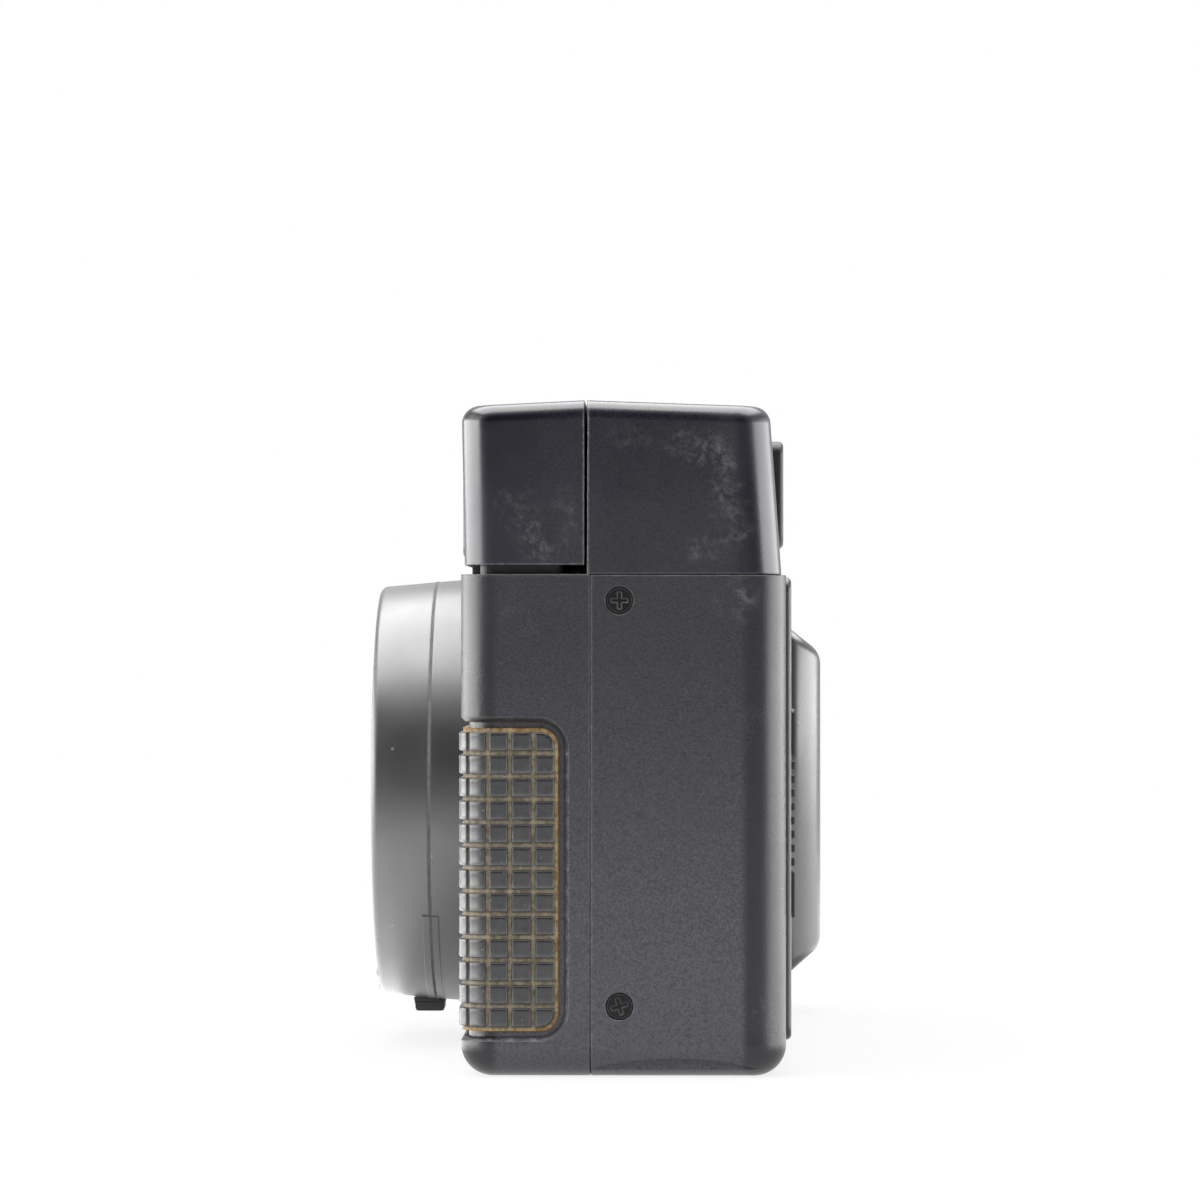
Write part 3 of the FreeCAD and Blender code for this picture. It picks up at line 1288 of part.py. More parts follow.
def make_strap_lug():
    piece = body("strap_lug")
    wall = "-body_side"
    prism(piece, "XY", "deck_height - 8", "deck_height - 6",
          rectangle(wall + " - 4.2", "screw_depth + 2", wall, "screw_depth + 9", "1.0"))
    pocket(piece, "XY", "0", "deck_height", circle(wall + " - 2.1", "screw_depth + 5.5", "1.3"))
    return piece


def make_screw(name, x, y, axis):
    """Pan screw with a cross recess. axis X points out of the flash end, axis Z out of the base."""
    if axis == "X":
        head = rod(name + "Head", "X", (x + " - screw_sink", y[0], y[1]), "screw_head_radius", "screw_head_height")
        shank = rod(name + "Shank", "X", (x + " - shell_wall - 0.8", y[0], y[1]), "screw_shank_radius",
                    "shell_wall + 0.8 - screw_sink")
        face = x + " - screw_sink + screw_head_height - 0.35"
        bars = [block(name + "BarA", (face, y[0] + " - 0.2", y[1] + " - 0.9"),
                      (face + " + 1", y[0] + " + 0.2", y[1] + " + 0.9")),
                block(name + "BarB", (face, y[0] + " - 0.9", y[1] + " - 0.2"),
                      (face + " + 1", y[0] + " + 0.9", y[1] + " + 0.2"))]
    else:
        head = rod(name + "Head", "Z", (x, y[0], "0.25"), "screw_head_radius", "base_thickness - 0.25")
        shank = rod(name + "Shank", "Z", (x, y[0], "base_thickness - 0.1"), "screw_shank_radius", "3")
        bars = [block(name + "BarA", (x + " - 0.2", y[0] + " - 0.9", "0"), (x + " + 0.2", y[0] + " + 0.9", "0.6")),
                block(name + "BarB", (x + " - 0.9", y[0] + " - 0.2", "0"), (x + " + 0.9", y[0] + " + 0.2", "0.6"))]
    return less(name, joined(name + "Blank", [head, shank]), joined(name + "Cross", bars))


def make_side_screws():
    screws = [make_screw("SideScrew" + str(n), "body_side", ("screw_depth", z), "X")
              for n, z in enumerate(("screw_low", "screw_high"))]
    return keep(grouped("side_screws", screws))


def make_base_screws():
    places = [(x, y) for x in ("-base_left + base_screw_inset", "base_right - base_screw_inset") for y in ("-base_front + 3", "base_rear - 3")]
    screws = [make_screw("BaseScrew" + str(n), x, (y,), "Z") for n, (x, y) in enumerate(places)]
    return keep(grouped("base_screws", screws))


def make_small_parts():
    pin = rod("hinge_pin", "Z", ("-hinge_place", "hinge_depth", "door_low + 0.5"), "hinge_pin_radius",
              "door_high - door_low - 1")
    keep(pin)
    window = rod("light_cell_window", "Y", ("0", "-barrel_front + filter_depth + 0.9", "lens_height + light_cell_place"),
                 "light_cell_radius - fit_gap", "1.2")
    keep(window)
    motor = rod("drive_motor", "X", ("-body_side + 6", "cover_back_high - 8.1", "deck_height + 6.2"), "6", "18")
    keep(motor)
    capacitor = rod("flash_capacitor", "Z",
                    ("cassette_place + cassette_radius + chamber_wall + capacitor_room / 2 + 0.15", "cassette_depth + 1.8",
                     "floor_wall + 1.8"), "capacitor_room / 2 - 0.25", "34")
    keep(capacitor)
    keep(block("circuit_board", ("flash_inner + 2", "cassette_depth + 3", "deck_height + 0.1"),
               ("body_side - 3", "cover_back_high - 2.6", "deck_height + 1.3")))
    seals = [block("LightSeal" + str(n), ("-spool_place - spool_chamber_radius", "door_inner - trap_depth", low),
                   ("cassette_place + cassette_radius", "door_inner - trap_depth + 0.6", low + " + trap_height"))
             for n, low in enumerate(("cassette_high + trap_offset", "cassette_low - trap_offset - trap_height"))]
    keep(grouped("light_seals", seals))
    springs = [block("PressureSpring" + str(n), ("-11", "film_plane + 1.1", z + " - 2"),
                     ("11", "door_inner - 0.05", z + " + 2"))
               for n, z in enumerate(("film_height - 9", "film_height + 9"))]
    keep(grouped("pressure_springs", springs))


make_main_body()
make_front_shell()
make_top_cover()
make_base_plate()
make_grip_pad_left()
make_hand_grip()
make_back_door()
make_thumb_rest()
make_door_latch()
make_film_gate()
make_pressure_plate()
make_take_up_spool()
make_sprocket()
make_rewind_fork()
make_barrel_base()
make_barrel_front_ring()
make_film_speed_ring()
make_lens_bezel()
make_lens_cell()
make_front_lens()
make_rear_lens()
make_shutter_housing()
make_shutter_blade("shutter_blade_a", False, "-blade_chamber_front + 0.15")
make_shutter_blade("shutter_blade_b", True, "-blade_chamber_front + 0.55")
make_blade_pins()
make_flash_housing()
make_flash_core()
make_flash_lens()
make_flash_reflector()
make_flash_tube()
make_flash_release()
make_window_panel()
make_viewfinder_window()
make_focus_windows()
make_viewfinder_tube()
make_eyepiece_frame()
make_eyepiece_glass()
make_shutter_button()
make_counter_dial()
make_counter_window()
make_self_timer_lever()
make_tripod_socket()
make_rewind_switch()
make_battery_door()
make_battery_contacts()
make_strap_lug()
make_side_screws()
make_base_screws()
make_small_parts()
doc.recompute()

faults = [thing.Label for thing in doc.Objects if "Invalid" in thing.State or "Error" in thing.State]
for thing in nodes:
    if thing.Shape.isNull() or not thing.Shape.isValid():
        faults.append(thing.Label + " shape")
if faults:
    raise RuntimeError("failed objects: " + ", ".join(faults))

os.makedirs("parts", exist_ok=True)
for thing in nodes:
    thing.Shape.exportStep(os.path.join("parts", thing.Label + ".step"))
print(len(nodes), "pieces written")
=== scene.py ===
import math

import bmesh
import bpy
from mathutils import Matrix, Vector


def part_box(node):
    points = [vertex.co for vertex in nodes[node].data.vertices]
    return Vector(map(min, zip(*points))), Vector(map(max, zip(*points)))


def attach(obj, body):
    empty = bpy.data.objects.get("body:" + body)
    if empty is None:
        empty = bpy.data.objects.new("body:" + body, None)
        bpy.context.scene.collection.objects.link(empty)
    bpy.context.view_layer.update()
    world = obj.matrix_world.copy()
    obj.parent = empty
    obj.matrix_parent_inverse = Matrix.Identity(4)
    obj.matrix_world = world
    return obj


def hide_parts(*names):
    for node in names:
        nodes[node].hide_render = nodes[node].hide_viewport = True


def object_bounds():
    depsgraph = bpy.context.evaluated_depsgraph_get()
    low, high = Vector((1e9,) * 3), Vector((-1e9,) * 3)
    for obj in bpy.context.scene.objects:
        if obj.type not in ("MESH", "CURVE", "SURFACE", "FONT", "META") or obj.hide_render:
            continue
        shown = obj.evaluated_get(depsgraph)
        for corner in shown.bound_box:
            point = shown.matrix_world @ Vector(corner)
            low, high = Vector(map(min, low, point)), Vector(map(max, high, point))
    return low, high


# A compact film camera, seen square on to its flash end. Lengths are in metres unless a name ends in _mm.

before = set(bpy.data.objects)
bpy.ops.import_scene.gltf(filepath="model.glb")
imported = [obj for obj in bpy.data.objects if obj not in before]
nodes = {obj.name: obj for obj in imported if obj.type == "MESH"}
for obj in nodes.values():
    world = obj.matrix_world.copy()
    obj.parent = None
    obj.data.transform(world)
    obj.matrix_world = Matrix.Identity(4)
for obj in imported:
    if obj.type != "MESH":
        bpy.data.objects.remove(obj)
cad_low, cad_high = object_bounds()
MM = 0.001


def point(x, y, z):
    """A place given in millimetres."""
    return Vector((x, y, z)) * MM


def add_object(name, data):
    thing = bpy.data.objects.new(name, data)
    bpy.context.scene.collection.objects.link(thing)
    return thing


# Camera, at the height and side from which the photograph was taken

FOCAL_PIXELS = 5574
FRAME_PIXELS = 1200
SENSOR_MM = 36.0
EYE = point(662.0, 10.0, 47.1)
AIM_SIDE_PIXELS = -90
AIM_UP_PIXELS = 40
NEAREST = 0.01
FARTHEST = 20.0


def make_camera():
    data = bpy.data.cameras.new("camera")
    data.sensor_fit = "HORIZONTAL"
    data.sensor_width = SENSOR_MM
    data.lens = SENSOR_MM * FOCAL_PIXELS / FRAME_PIXELS
    data.clip_start = NEAREST
    data.clip_end = FARTHEST
    camera = add_object("camera", data)
    camera.location = EYE
    aim = Vector((-FOCAL_PIXELS, AIM_SIDE_PIXELS, AIM_UP_PIXELS))
    camera.rotation_euler = aim.to_track_quat("-Z", "Y").to_euler()
    bpy.context.scene.camera = camera


make_camera()
bpy.context.scene.view_settings.view_transform = "Standard"


# Material graphs

class Graph:
    """One procedural material, built a node at a time in the object's own coordinates."""

    def __init__(self, name):
        self.material = bpy.data.materials.new(name)
        self.material.use_nodes = True
        self.tree = self.material.node_tree
        self.tree.nodes.clear()
        self.out = self.add("ShaderNodeOutputMaterial")
        self.place = self.add("ShaderNodeTexCoord").outputs["Object"]

    def add(self, kind, **settings):
        node = self.tree.nodes.new(kind)
        for key, value in settings.items():
            setattr(node, key, value)
        return node

    def put(self, socket, value):
        if isinstance(value, bpy.types.NodeSocket):
            self.tree.links.new(value, socket)
        elif isinstance(value, (tuple, list)) and len(value) == 3 and socket.type == "RGBA":
            socket.default_value = (*value, 1.0)
        else:
            socket.default_value = value

    def calc(self, operation, a, b=0.0):
        node = self.add("ShaderNodeMath", operation=operation)
        self.put(node.inputs[0], a)
        self.put(node.inputs[1], b)
        return node.outputs[0]

    def span(self, value, low, high, start=0.0, end=1.0):
        """Start below low, end above high, and a smooth step between."""
        node = self.add("ShaderNodeMapRange", interpolation_type="SMOOTHSTEP")
        self.put(node.inputs["Value"], value)
        self.put(node.inputs["From Min"], low)
        self.put(node.inputs["From Max"], high)
        self.put(node.inputs["To Min"], start)
        self.put(node.inputs["To Max"], end)
        return node.outputs["Result"]

    def scaled(self, factors):
        node = self.add("ShaderNodeMapping")
        self.put(node.inputs["Vector"], self.place)
        node.inputs["Scale"].default_value = factors
        return node.outputs["Vector"]

    def noise(self, scale, detail=2.0, rough=0.5, warp=0.0, place=None):
        node = self.add("ShaderNodeTexNoise")
        self.put(node.inputs["Vector"], place or self.place)
        self.put(node.inputs["Scale"], scale)
        self.put(node.inputs["Detail"], detail)
        self.put(node.inputs["Roughness"], rough)
        self.put(node.inputs["Distortion"], warp)
        return node.outputs["Fac"]

    def cells(self, scale):
        node = self.add("ShaderNodeTexVoronoi")
        self.put(node.inputs["Vector"], self.place)
        self.put(node.inputs["Scale"], scale)
        return node.outputs["Distance"], node.outputs["Color"]

    def mix(self, factor, a, b):
        node = self.add("ShaderNodeMix", data_type="RGBA")
        self.put(node.inputs[0], factor)
        self.put(node.inputs[6], a)
        self.put(node.inputs[7], b)
        return node.outputs[2]

    def over(self, base, colour, cover, strength):
        """The base colour with another laid over it."""
        return self.mix(self.calc("MULTIPLY", cover, strength), base, colour)

    def axis(self, which):
        node = self.add("ShaderNodeSeparateXYZ")
        self.put(node.inputs[0], self.place)
        return node.outputs[which]

    def blob(self, centre_mm, radii_mm):
        """1 at the centre, falling to 0 at the edge of an ellipsoid."""
        node = self.add("ShaderNodeMapping", vector_type="TEXTURE")
        self.put(node.inputs["Vector"], self.place)
        node.inputs["Location"].default_value = point(*centre_mm)
        node.inputs["Scale"].default_value = point(*radii_mm)
        length = self.add("ShaderNodeVectorMath", operation="LENGTH")
        self.put(length.inputs[0], node.outputs["Vector"])
        return self.span(length.outputs["Value"], 0.35, 1.0, 1.0, 0.0)

    def specks(self, scale, radius, share):
        """Small round grains, in a share of the cells of a random lattice."""
        distance, colour = self.cells(scale)
        split = self.add("ShaderNodeSeparateColor")
        self.put(split.inputs[0], colour)
        chosen = self.span(split.outputs[0], 1.0 - share, 1.0 - share + 0.02)
        size = self.calc("MULTIPLY", split.outputs[1], radius)
        inside = self.calc("LESS_THAN", distance, size)
        return self.calc("MULTIPLY", chosen, inside)

    def hairlines(self, scale, width, share):
        """Thin curved lines, only here and there."""
        level = self.noise(scale, 1.0, 0.4, 0.3)
        off = self.calc("ABSOLUTE", self.calc("SUBTRACT", level, 0.5))
        line = self.span(off, 0.0, width, 1.0, 0.0)
        where = self.span(self.noise(scale * 3.1, 1.0), 1.0 - share, 1.0 - share + 0.05)
        return self.calc("MULTIPLY", line, where)

    def seam_dust(self, which, place_mm, reach_mm):
        """Dust gathered within a short reach of a plane across one axis."""
        off = self.calc("ABSOLUTE", self.calc("SUBTRACT", self.axis(which), place_mm * MM))
        band = self.span(off, reach_mm * 0.4 * MM, reach_mm * MM, 1.0, 0.0)
        return self.calc("MULTIPLY", band, self.span(self.noise(1300, 6.0, 0.75), 0.30, 0.68))

    def rounded(self, radius_mm):
        """The normal with its sharp edges rounded, and how near an edge the point is."""
        bevel = self.add("ShaderNodeBevel", samples=4)
        self.put(bevel.inputs["Radius"], radius_mm * MM)
        flat = self.add("ShaderNodeNewGeometry")
        dot = self.add("ShaderNodeVectorMath", operation="DOT_PRODUCT")
        self.put(dot.inputs[0], bevel.outputs["Normal"])
        self.put(dot.inputs[1], flat.outputs["Normal"])
        return bevel.outputs["Normal"], self.span(dot.outputs["Value"], 0.80, 0.99, 1.0, 0.0)

    def bump(self, height, depth_mm, normal=None, strength=1.0):
        node = self.add("ShaderNodeBump")
        self.put(node.inputs["Height"], height)
        self.put(node.inputs["Strength"], strength)
        self.put(node.inputs["Distance"], depth_mm * MM)
        if normal is not None:
            self.put(node.inputs["Normal"], normal)
        return node.outputs["Normal"]

    def surface(self, colour, roughness, normal=None, **fixed):
        shader = self.add("ShaderNodeBsdfPrincipled")
        self.put(shader.inputs["Base Color"], colour)
        self.put(shader.inputs["Roughness"], roughness)
        if normal is not None:
            self.put(shader.inputs["Normal"], normal)
        for key, value in fixed.items():
            self.put(shader.inputs[key.replace("_", " ")], value)
        self.tree.links.new(shader.outputs[0], self.out.inputs["Surface"])
        return self.material


def shade(colour, factor):
    return tuple(c * factor for c in colour)


DUST = (0.55, 0.54, 0.50)
HAZE = (0.30, 0.31, 0.33)
# colour of a painted sheen that lightens flat faces
SHEEN_PAINT = (0.150, 0.145, 0.172)
RUBBED_PAINT = (0.16, 0.16, 0.165)
RUBBED_RUBBER = (0.11, 0.11, 0.105)
RUBBED_AND_HIGHLIT_SCREW = (0.50, 0.50, 0.52)
SHOULDER_MM = 54
REAR_FADE_MM = 1.2
RUBBER_GRAIN_MM = 0.12
RUBBER_GRAIN_DEPTH_MM = 0.012


def moulded(name, colour, roughness, grain_mm, grain_depth_mm, gloss=0.5, smudges=(), dust=0.12, edge_mm=0.25,
            wear_and_painted_light=(0.10, 0.10, 0.11), seams=(), painted_sheen=None):
    """Moulded black plastic: fine grain, uneven tone, dust and hairline scratches.

    When given, the last argument paints a sheen: a lighter tone on the flat faces, strongest at the base,
    which fades out before the front and rear edges and leaves a painted dark band beside them. It holds the
    share at the base and at the shoulder, the place and reach of the fade at the front, and the place where
    the rear fade ends.
    """
    g = Graph(name)
    tone = g.span(g.noise(90, 5.0, 0.65), 0.3, 0.7)
    base = g.mix(tone, shade(colour, 0.82), shade(colour, 1.2))
    if painted_sheen is not None:
        low_share, high_share, front_mm, front_reach_mm, rear_mm = painted_sheen
        # painted sheen: the flat faces lightened, most at the base and less towards the shoulder
        sheen = g.span(g.axis(2), 0.0, SHOULDER_MM * MM, low_share, high_share)
        sheen = g.calc("MULTIPLY", sheen, g.span(g.axis(1), front_mm * MM, (front_mm + front_reach_mm) * MM))
        rear_fade = g.span(g.axis(1), (rear_mm - REAR_FADE_MM) * MM, rear_mm * MM, 1.0, 0.0)
        sheen = g.calc("MULTIPLY", sheen, rear_fade)
        sheen = g.calc("MULTIPLY", sheen, g.span(g.noise(4300, 3.0, 0.7), 0.32, 0.68, 0.35, 1.35))
        base = g.mix(sheen, base, SHEEN_PAINT)
    normal, edge = g.rounded(edge_mm)
    # edges lightened: partly real wear, partly a painted highlight where the edges catch the light
    rubbed_and_highlit_edge = g.calc("MULTIPLY", edge, g.span(g.noise(700, 4.0, 0.7), 0.45, 0.65))
    base = g.over(base, wear_and_painted_light, rubbed_and_highlit_edge, 0.6)
    film = None
    mottle = g.span(g.noise(900, 8.0, 0.78, 0.1), 0.42, 0.68)
    broad = g.span(g.noise(230, 4.0, 0.62, 0.25), 0.40, 0.60)
    for centre, radii, strength in smudges:
        patch = g.calc("MULTIPLY", g.blob(centre, radii), strength)
        film = patch if film is None else g.calc("MAXIMUM", film, patch)
    if film is not None:
        film = g.calc("MULTIPLY", film, g.calc("MULTIPLY", mottle, broad))
        base = g.mix(film, base, HAZE)
    base = g.over(base, DUST, g.hairlines(160, 0.0022, 0.22), 0.2)
    grains = g.calc("MAXIMUM", g.specks(330, 0.09, dust), g.specks(900, 0.12, dust * 0.8))
    base = g.over(base, DUST, grains, 0.55)
    for which, place_mm, reach_mm, strength in seams:
        base = g.over(base, DUST, g.seam_dust(which, place_mm, reach_mm), strength)
    rough = g.span(g.noise(60, 3.0, 0.6), 0.3, 0.7, roughness - 0.05, roughness + 0.06)
    if film is not None:
        rough = g.calc("ADD", rough, g.calc("MULTIPLY", film, 0.4))
    grain = g.noise(1.0 / (grain_mm * MM), 3.0, 0.6)
    normal = g.bump(grain, grain_depth_mm, normal)
    return g.surface(base, rough, normal, Specular_IOR_Level=gloss)


def rubber(name, colour, roughness):
    g = Graph(name)
    tone = g.span(g.noise(150, 4.0, 0.6), 0.3, 0.7)
    base = g.mix(tone, shade(colour, 0.75), shade(colour, 1.3))
    normal, edge = g.rounded(0.3)
    base = g.over(base, RUBBED_RUBBER, edge, 0.35)
    base = g.over(base, DUST, g.specks(600, 0.13, 0.2), 0.4)
    normal = g.bump(g.noise(1.0 / (RUBBER_GRAIN_MM * MM), 3.0, 0.6), RUBBER_GRAIN_DEPTH_MM, normal)
    rough = g.span(tone, 0.0, 1.0, roughness - 0.06, roughness + 0.06)
    return g.surface(base, rough, normal)


def metal(name, colour, roughness):
    g = Graph(name)
    lay = g.noise(1400, 3.0, 0.6)
    base = g.mix(g.span(lay, 0.3, 0.7), shade(colour, 0.86), shade(colour, 1.08))
    normal, _ = g.rounded(0.12)
    normal = g.bump(lay, 0.004, normal)
    rough = g.span(g.noise(300, 3.0, 0.6), 0.3, 0.7, roughness * 0.8, roughness * 1.25)
    return g.surface(base, rough, normal, Metallic=1.0)


def painted(name, colour, roughness, gloss=0.5, edge_mm=0.2, seams=(), coat=0.0):
    """Satin black paint or anodised finish on metal, bright where edges have rubbed."""
    g = Graph(name)
    tone = g.span(g.noise(70, 4.0, 0.6), 0.3, 0.7)
    base = g.mix(tone, shade(colour, 0.85), shade(colour, 1.15))
    normal, edge = g.rounded(edge_mm)
    rubbed_and_highlit_edge = g.calc("MULTIPLY", edge, g.span(g.noise(500, 4.0, 0.7), 0.52, 0.7))
    base = g.over(base, RUBBED_PAINT, rubbed_and_highlit_edge, 0.8)
    base = g.over(base, DUST, g.specks(420, 0.1, 0.12), 0.5)
    for which, place_mm, reach_mm, strength in seams:
        base = g.over(base, DUST, g.seam_dust(which, place_mm, reach_mm), strength)
    rough = g.span(g.noise(140, 4.0, 0.65), 0.3, 0.7, roughness - 0.04, roughness + 0.05)
    normal = g.bump(g.noise(5200, 2.0, 0.5), 0.004, normal)
    fixed = {"Specular_IOR_Level": gloss, "Coat_Weight": coat, "Coat_Roughness": roughness}
    return g.surface(base, rough, normal, **fixed)


def screw_finish(name):
    """Black oxide with its edges lightened: partly wear, partly a painted highlight."""
    g = Graph(name)
    tone = g.span(g.noise(900, 3.0, 0.6), 0.3, 0.7)
    base = g.mix(tone, (0.004, 0.004, 0.005), (0.010, 0.010, 0.011))
    normal, edge = g.rounded(0.20)
    base = g.over(base, RUBBED_AND_HIGHLIT_SCREW, edge, g.span(g.noise(1500, 3.0, 0.6), 0.05, 0.40))
    return g.surface(base, 0.34, normal, Specular_IOR_Level=0.3)


def glass(name, tint, roughness, ior, coating=None):
    g = Graph(name)
    smear = g.span(g.noise(180, 4.0, 0.6, 0.5), 0.4, 0.75, roughness, roughness + 0.06)
    base = g.mix(g.span(g.noise(90, 2.0), 0.3, 0.7), shade(tint, 0.97), tint)
    fixed = {"Transmission_Weight": 1.0, "IOR": ior}
    if coating is not None:
        fixed["Specular_Tint"] = coating
    return g.surface(base, smear, None, **fixed)


def cast_plastic_lens(name, tint, roughness):
    g = Graph(name)
    cloud = g.span(g.noise(220, 4.0, 0.6), 0.35, 0.7)
    base = g.mix(cloud, shade(tint, 0.93), tint)
    rough = g.span(cloud, 0.0, 1.0, roughness, roughness + 0.1)
    return g.surface(base, rough, None, Transmission_Weight=0.85, IOR=1.49)


def foam(name):
    g = Graph(name)
    pores = g.noise(2600, 4.0, 0.7)
    base = g.mix(g.span(pores, 0.35, 0.65), (0.008, 0.008, 0.009), (0.035, 0.034, 0.036))
    return g.surface(base, 0.95, g.bump(pores, 0.12))


def board(name):
    g = Graph(name)
    tracks = g.noise(260, 2.0, 0.4, 0.0, g.scaled((1.0, 1.0, 3.0)))
    base = g.mix(g.span(tracks, 0.48, 0.52), (0.02, 0.075, 0.035), (0.035, 0.13, 0.06))
    return g.surface(base, 0.4, g.bump(tracks, 0.02))


# Handling marks, most of them on the flash end where the photograph shows them: centre, radii, strength
END_X = 62.0
COVER_SMUDGES = [
    ((END_X, 12.4, 66.0), (4, 3.4, 4.2), 0.75),
    ((END_X, 14.4, 60.6), (4, 3.2, 4.6), 0.65),
    ((END_X, 8.0, 68.6), (4, 4.6, 2.2), 0.20),
    ((END_X, 11.5, 56.6), (4, 2.6, 2.6), 0.45),
    ((END_X, 3.0, 69.0), (4, 3.5, 2.0), 0.12),
    ((-END_X, 4.0, 64.0), (4, 8.0, 5.0), 0.4),
    ((-20.0, 6.0, 72.3), (22, 9.0, 3), 0.3),
]
FLASH_SMUDGES = [
    ((END_X, -6.4, 57.6), (4, 3.4, 3.6), 0.45),
    ((END_X, -8.6, 61.5), (4, 3.6, 3.6), 0.30),
    ((END_X, -3.6, 60.0), (4, 2.0, 5.0), 0.30),
]
BODY_SMUDGES = [
    ((END_X, 14.9, 51.4), (4, 3.4, 3.2), 0.6),
    ((END_X, 17.0, 38.0), (4, 3.0, 4.0), 0.10),
    ((END_X, 18.4, 6.4), (4, 2.6, 3.0), 0.25),
    ((END_X, -9.5, 49.0), (4, 3.0, 3.0), 0.2),
    ((-END_X, 6.0, 30.0), (4, 8.0, 12.0), 0.35),
]

# Dust along the joints of the casing: axis, place and reach in mm, strength
BODY_SEAMS = [(1, -0.60, 0.25, 0.14), (2, 54.05, 0.18, 0.10)]
COVER_SEAMS = [(1, -1.00, 0.25, 0.28), (2, 54.3, 0.18, 0.06)]
BARREL_SEAMS = [(1, -19.9, 0.30, 0.55)]
FLASH_SEAMS = [(1, -1.5, 0.18, 0.2), (2, 55.25, 0.2, 0.3)]

BLACK = (0.0075, 0.0078, 0.0135)
NAVY = (0.0048, 0.0058, 0.0165)

# the body, cover and flash take a painted sheen on their flat faces, from the last argument of moulded
look = {
    # the body's pale edge colour is partly wear and partly a painted highlight along its edges
    "body": moulded("body_plastic", BLACK, 0.28, 0.16, 0.030, 0.7, BODY_SMUDGES, wear_and_painted_light=(0.24, 0.24, 0.25),
                    seams=BODY_SEAMS, painted_sheen=(0.98, 0.21, -11.6, 1.2, 16.4)),
    "cover": moulded("cover_plastic", NAVY, 0.25, 0.30, 0.006, 0.72, COVER_SMUDGES, seams=COVER_SEAMS,
                     painted_sheen=(0.16, 0.16, -20.0, 1.0, 15.6)),
    "flash": moulded("flash_cover_plastic", NAVY, 0.25, 0.30, 0.006, 0.72, FLASH_SMUDGES, seams=FLASH_SEAMS,
                     painted_sheen=(0.18, 0.18, -12.0, 12.0, 15.6)),
    # the thumb rest is black plastic; its grey is painted light, standing in for strong light from behind
    "rest": moulded("thumb_rest_painted_bright", (0.060, 0.060, 0.061), 0.27, 0.3, 0.008, 1.0, (), 0.08),
    "trim": moulded("trim_plastic", (0.016, 0.016, 0.018), 0.38, 0.25, 0.006, 0.5, (), 0.06, 0.15),
    "gloss": moulded("gloss_panel", (0.010, 0.010, 0.011), 0.14, 0.4, 0.002, 0.5, (), 0.10, 0.2),
    "inner": moulded("inner_plastic", (0.014, 0.014, 0.015), 0.62, 0.2, 0.012, 0.4, (), 0.04, 0.15),
    "rubber": rubber("rubber", (0.026, 0.027, 0.029), 0.5),
    "barrel": painted("barrel_finish", (0.026, 0.0265, 0.030), 0.40, 1.0, seams=BARREL_SEAMS, coat=0.6),
    "screw": screw_finish("screw_finish"),
    # the flash core's pale edge colour is a painted highlight on its rounded corners, not wear
    "core": moulded("flash_core_plastic", (0.012, 0.012, 0.014), 0.40, 0.3, 0.006, 0.5, (), 0.1, 0.9,
                    (0.42, 0.40, 0.33)),
    "sheet": painted("base_finish", (0.020, 0.020, 0.022), 0.38),
    "black_steel": painted("black_steel", (0.012, 0.012, 0.013), 0.30, 0.6, 0.1),
    "steel": metal("bright_steel", (0.62, 0.61, 0.59), 0.26),
    "mirror": metal("reflector_metal", (0.64, 0.64, 0.63), 0.20),
    "front_glass": glass("lens_glass", (0.97, 0.98, 1.0), 0.01, 1.6, (0.62, 0.50, 1.0)),
    "glass": glass("window_glass", (0.90, 0.94, 0.95), 0.02, 1.5),
    "dark_glass": glass("dark_window", (0.25, 0.12, 0.16), 0.03, 1.5),
    "flash_lens": cast_plastic_lens("flash_plastic", (0.74, 0.75, 0.77), 0.12),
    "foam": foam("foam_seal"),
    "board": board("circuit_board"),
}

dress = {
    "body": ["main_body", "front_shell", "back_door", "battery_door"],
    "rest": ["thumb_rest"],
    "screw": ["side_screws", "base_screws"],
    "cover": ["top_cover"],
    "flash": ["flash_housing"],
    "trim": ["eyepiece_frame", "shutter_button", "self_timer_lever", "flash_release", "rewind_switch",
             "film_speed_ring", "door_latch"],
    "core": ["flash_core"],
    "gloss": ["window_panel"],
    "inner": ["viewfinder_tube", "shutter_housing", "take_up_spool", "sprocket", "rewind_fork",
              "counter_dial", "lens_bezel", "flash_capacitor", "drive_motor"],
    "rubber": ["grip_pad_left", "hand_grip"],
    "barrel": ["barrel_base", "barrel_front_ring", "lens_cell"],
    "sheet": ["base_plate"],
    "black_steel": ["shutter_blade_a", "shutter_blade_b", "film_gate", "pressure_plate"],
    "steel": ["hinge_pin", "pressure_springs", "blade_pins", "battery_contacts", "strap_lug",
              "tripod_socket"],
    "mirror": ["flash_reflector"],
    "front_glass": ["front_lens", "rear_lens"],
    "glass": ["viewfinder_window", "eyepiece_glass", "counter_window", "focus_windows", "flash_tube"],
    "dark_glass": ["light_cell_window"],
    "flash_lens": ["flash_lens"],
    "foam": ["light_seals"],
    "board": ["circuit_board"],
}

for key, names in dress.items():
    for name in names:
        mesh = nodes[name].data
        mesh.materials.clear()
        mesh.materials.append(look[key])

missing = sorted(set(nodes) - {name for names in dress.values() for name in names})
if missing:
    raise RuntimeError(f"nodes with no material: {missing}")


# Grip pad: a rubber sheet of pillow cells that wraps the front corner

FRONT_Y_MM = -14.8
CORNER_MM = 3.8
RECESS_MM = 0.9
PAD_REAR_MM = -4.4
PAD_THICK_MM = 1.15
PAD_BEND_MM = CORNER_MM - RECESS_MM + PAD_THICK_MM
PAD_EDGE_MM = 0.2
PAD_PITCH_MM = 2.5
PAD_ROWS = 13
PAD_DEPTH_MM = 0.5
PAD_DISH_MM = 0.06
PAD_OUTLINE_MM = 2.0
PAD_BORDER_MM = 0.28
PAD_BACK_MM = 0.03
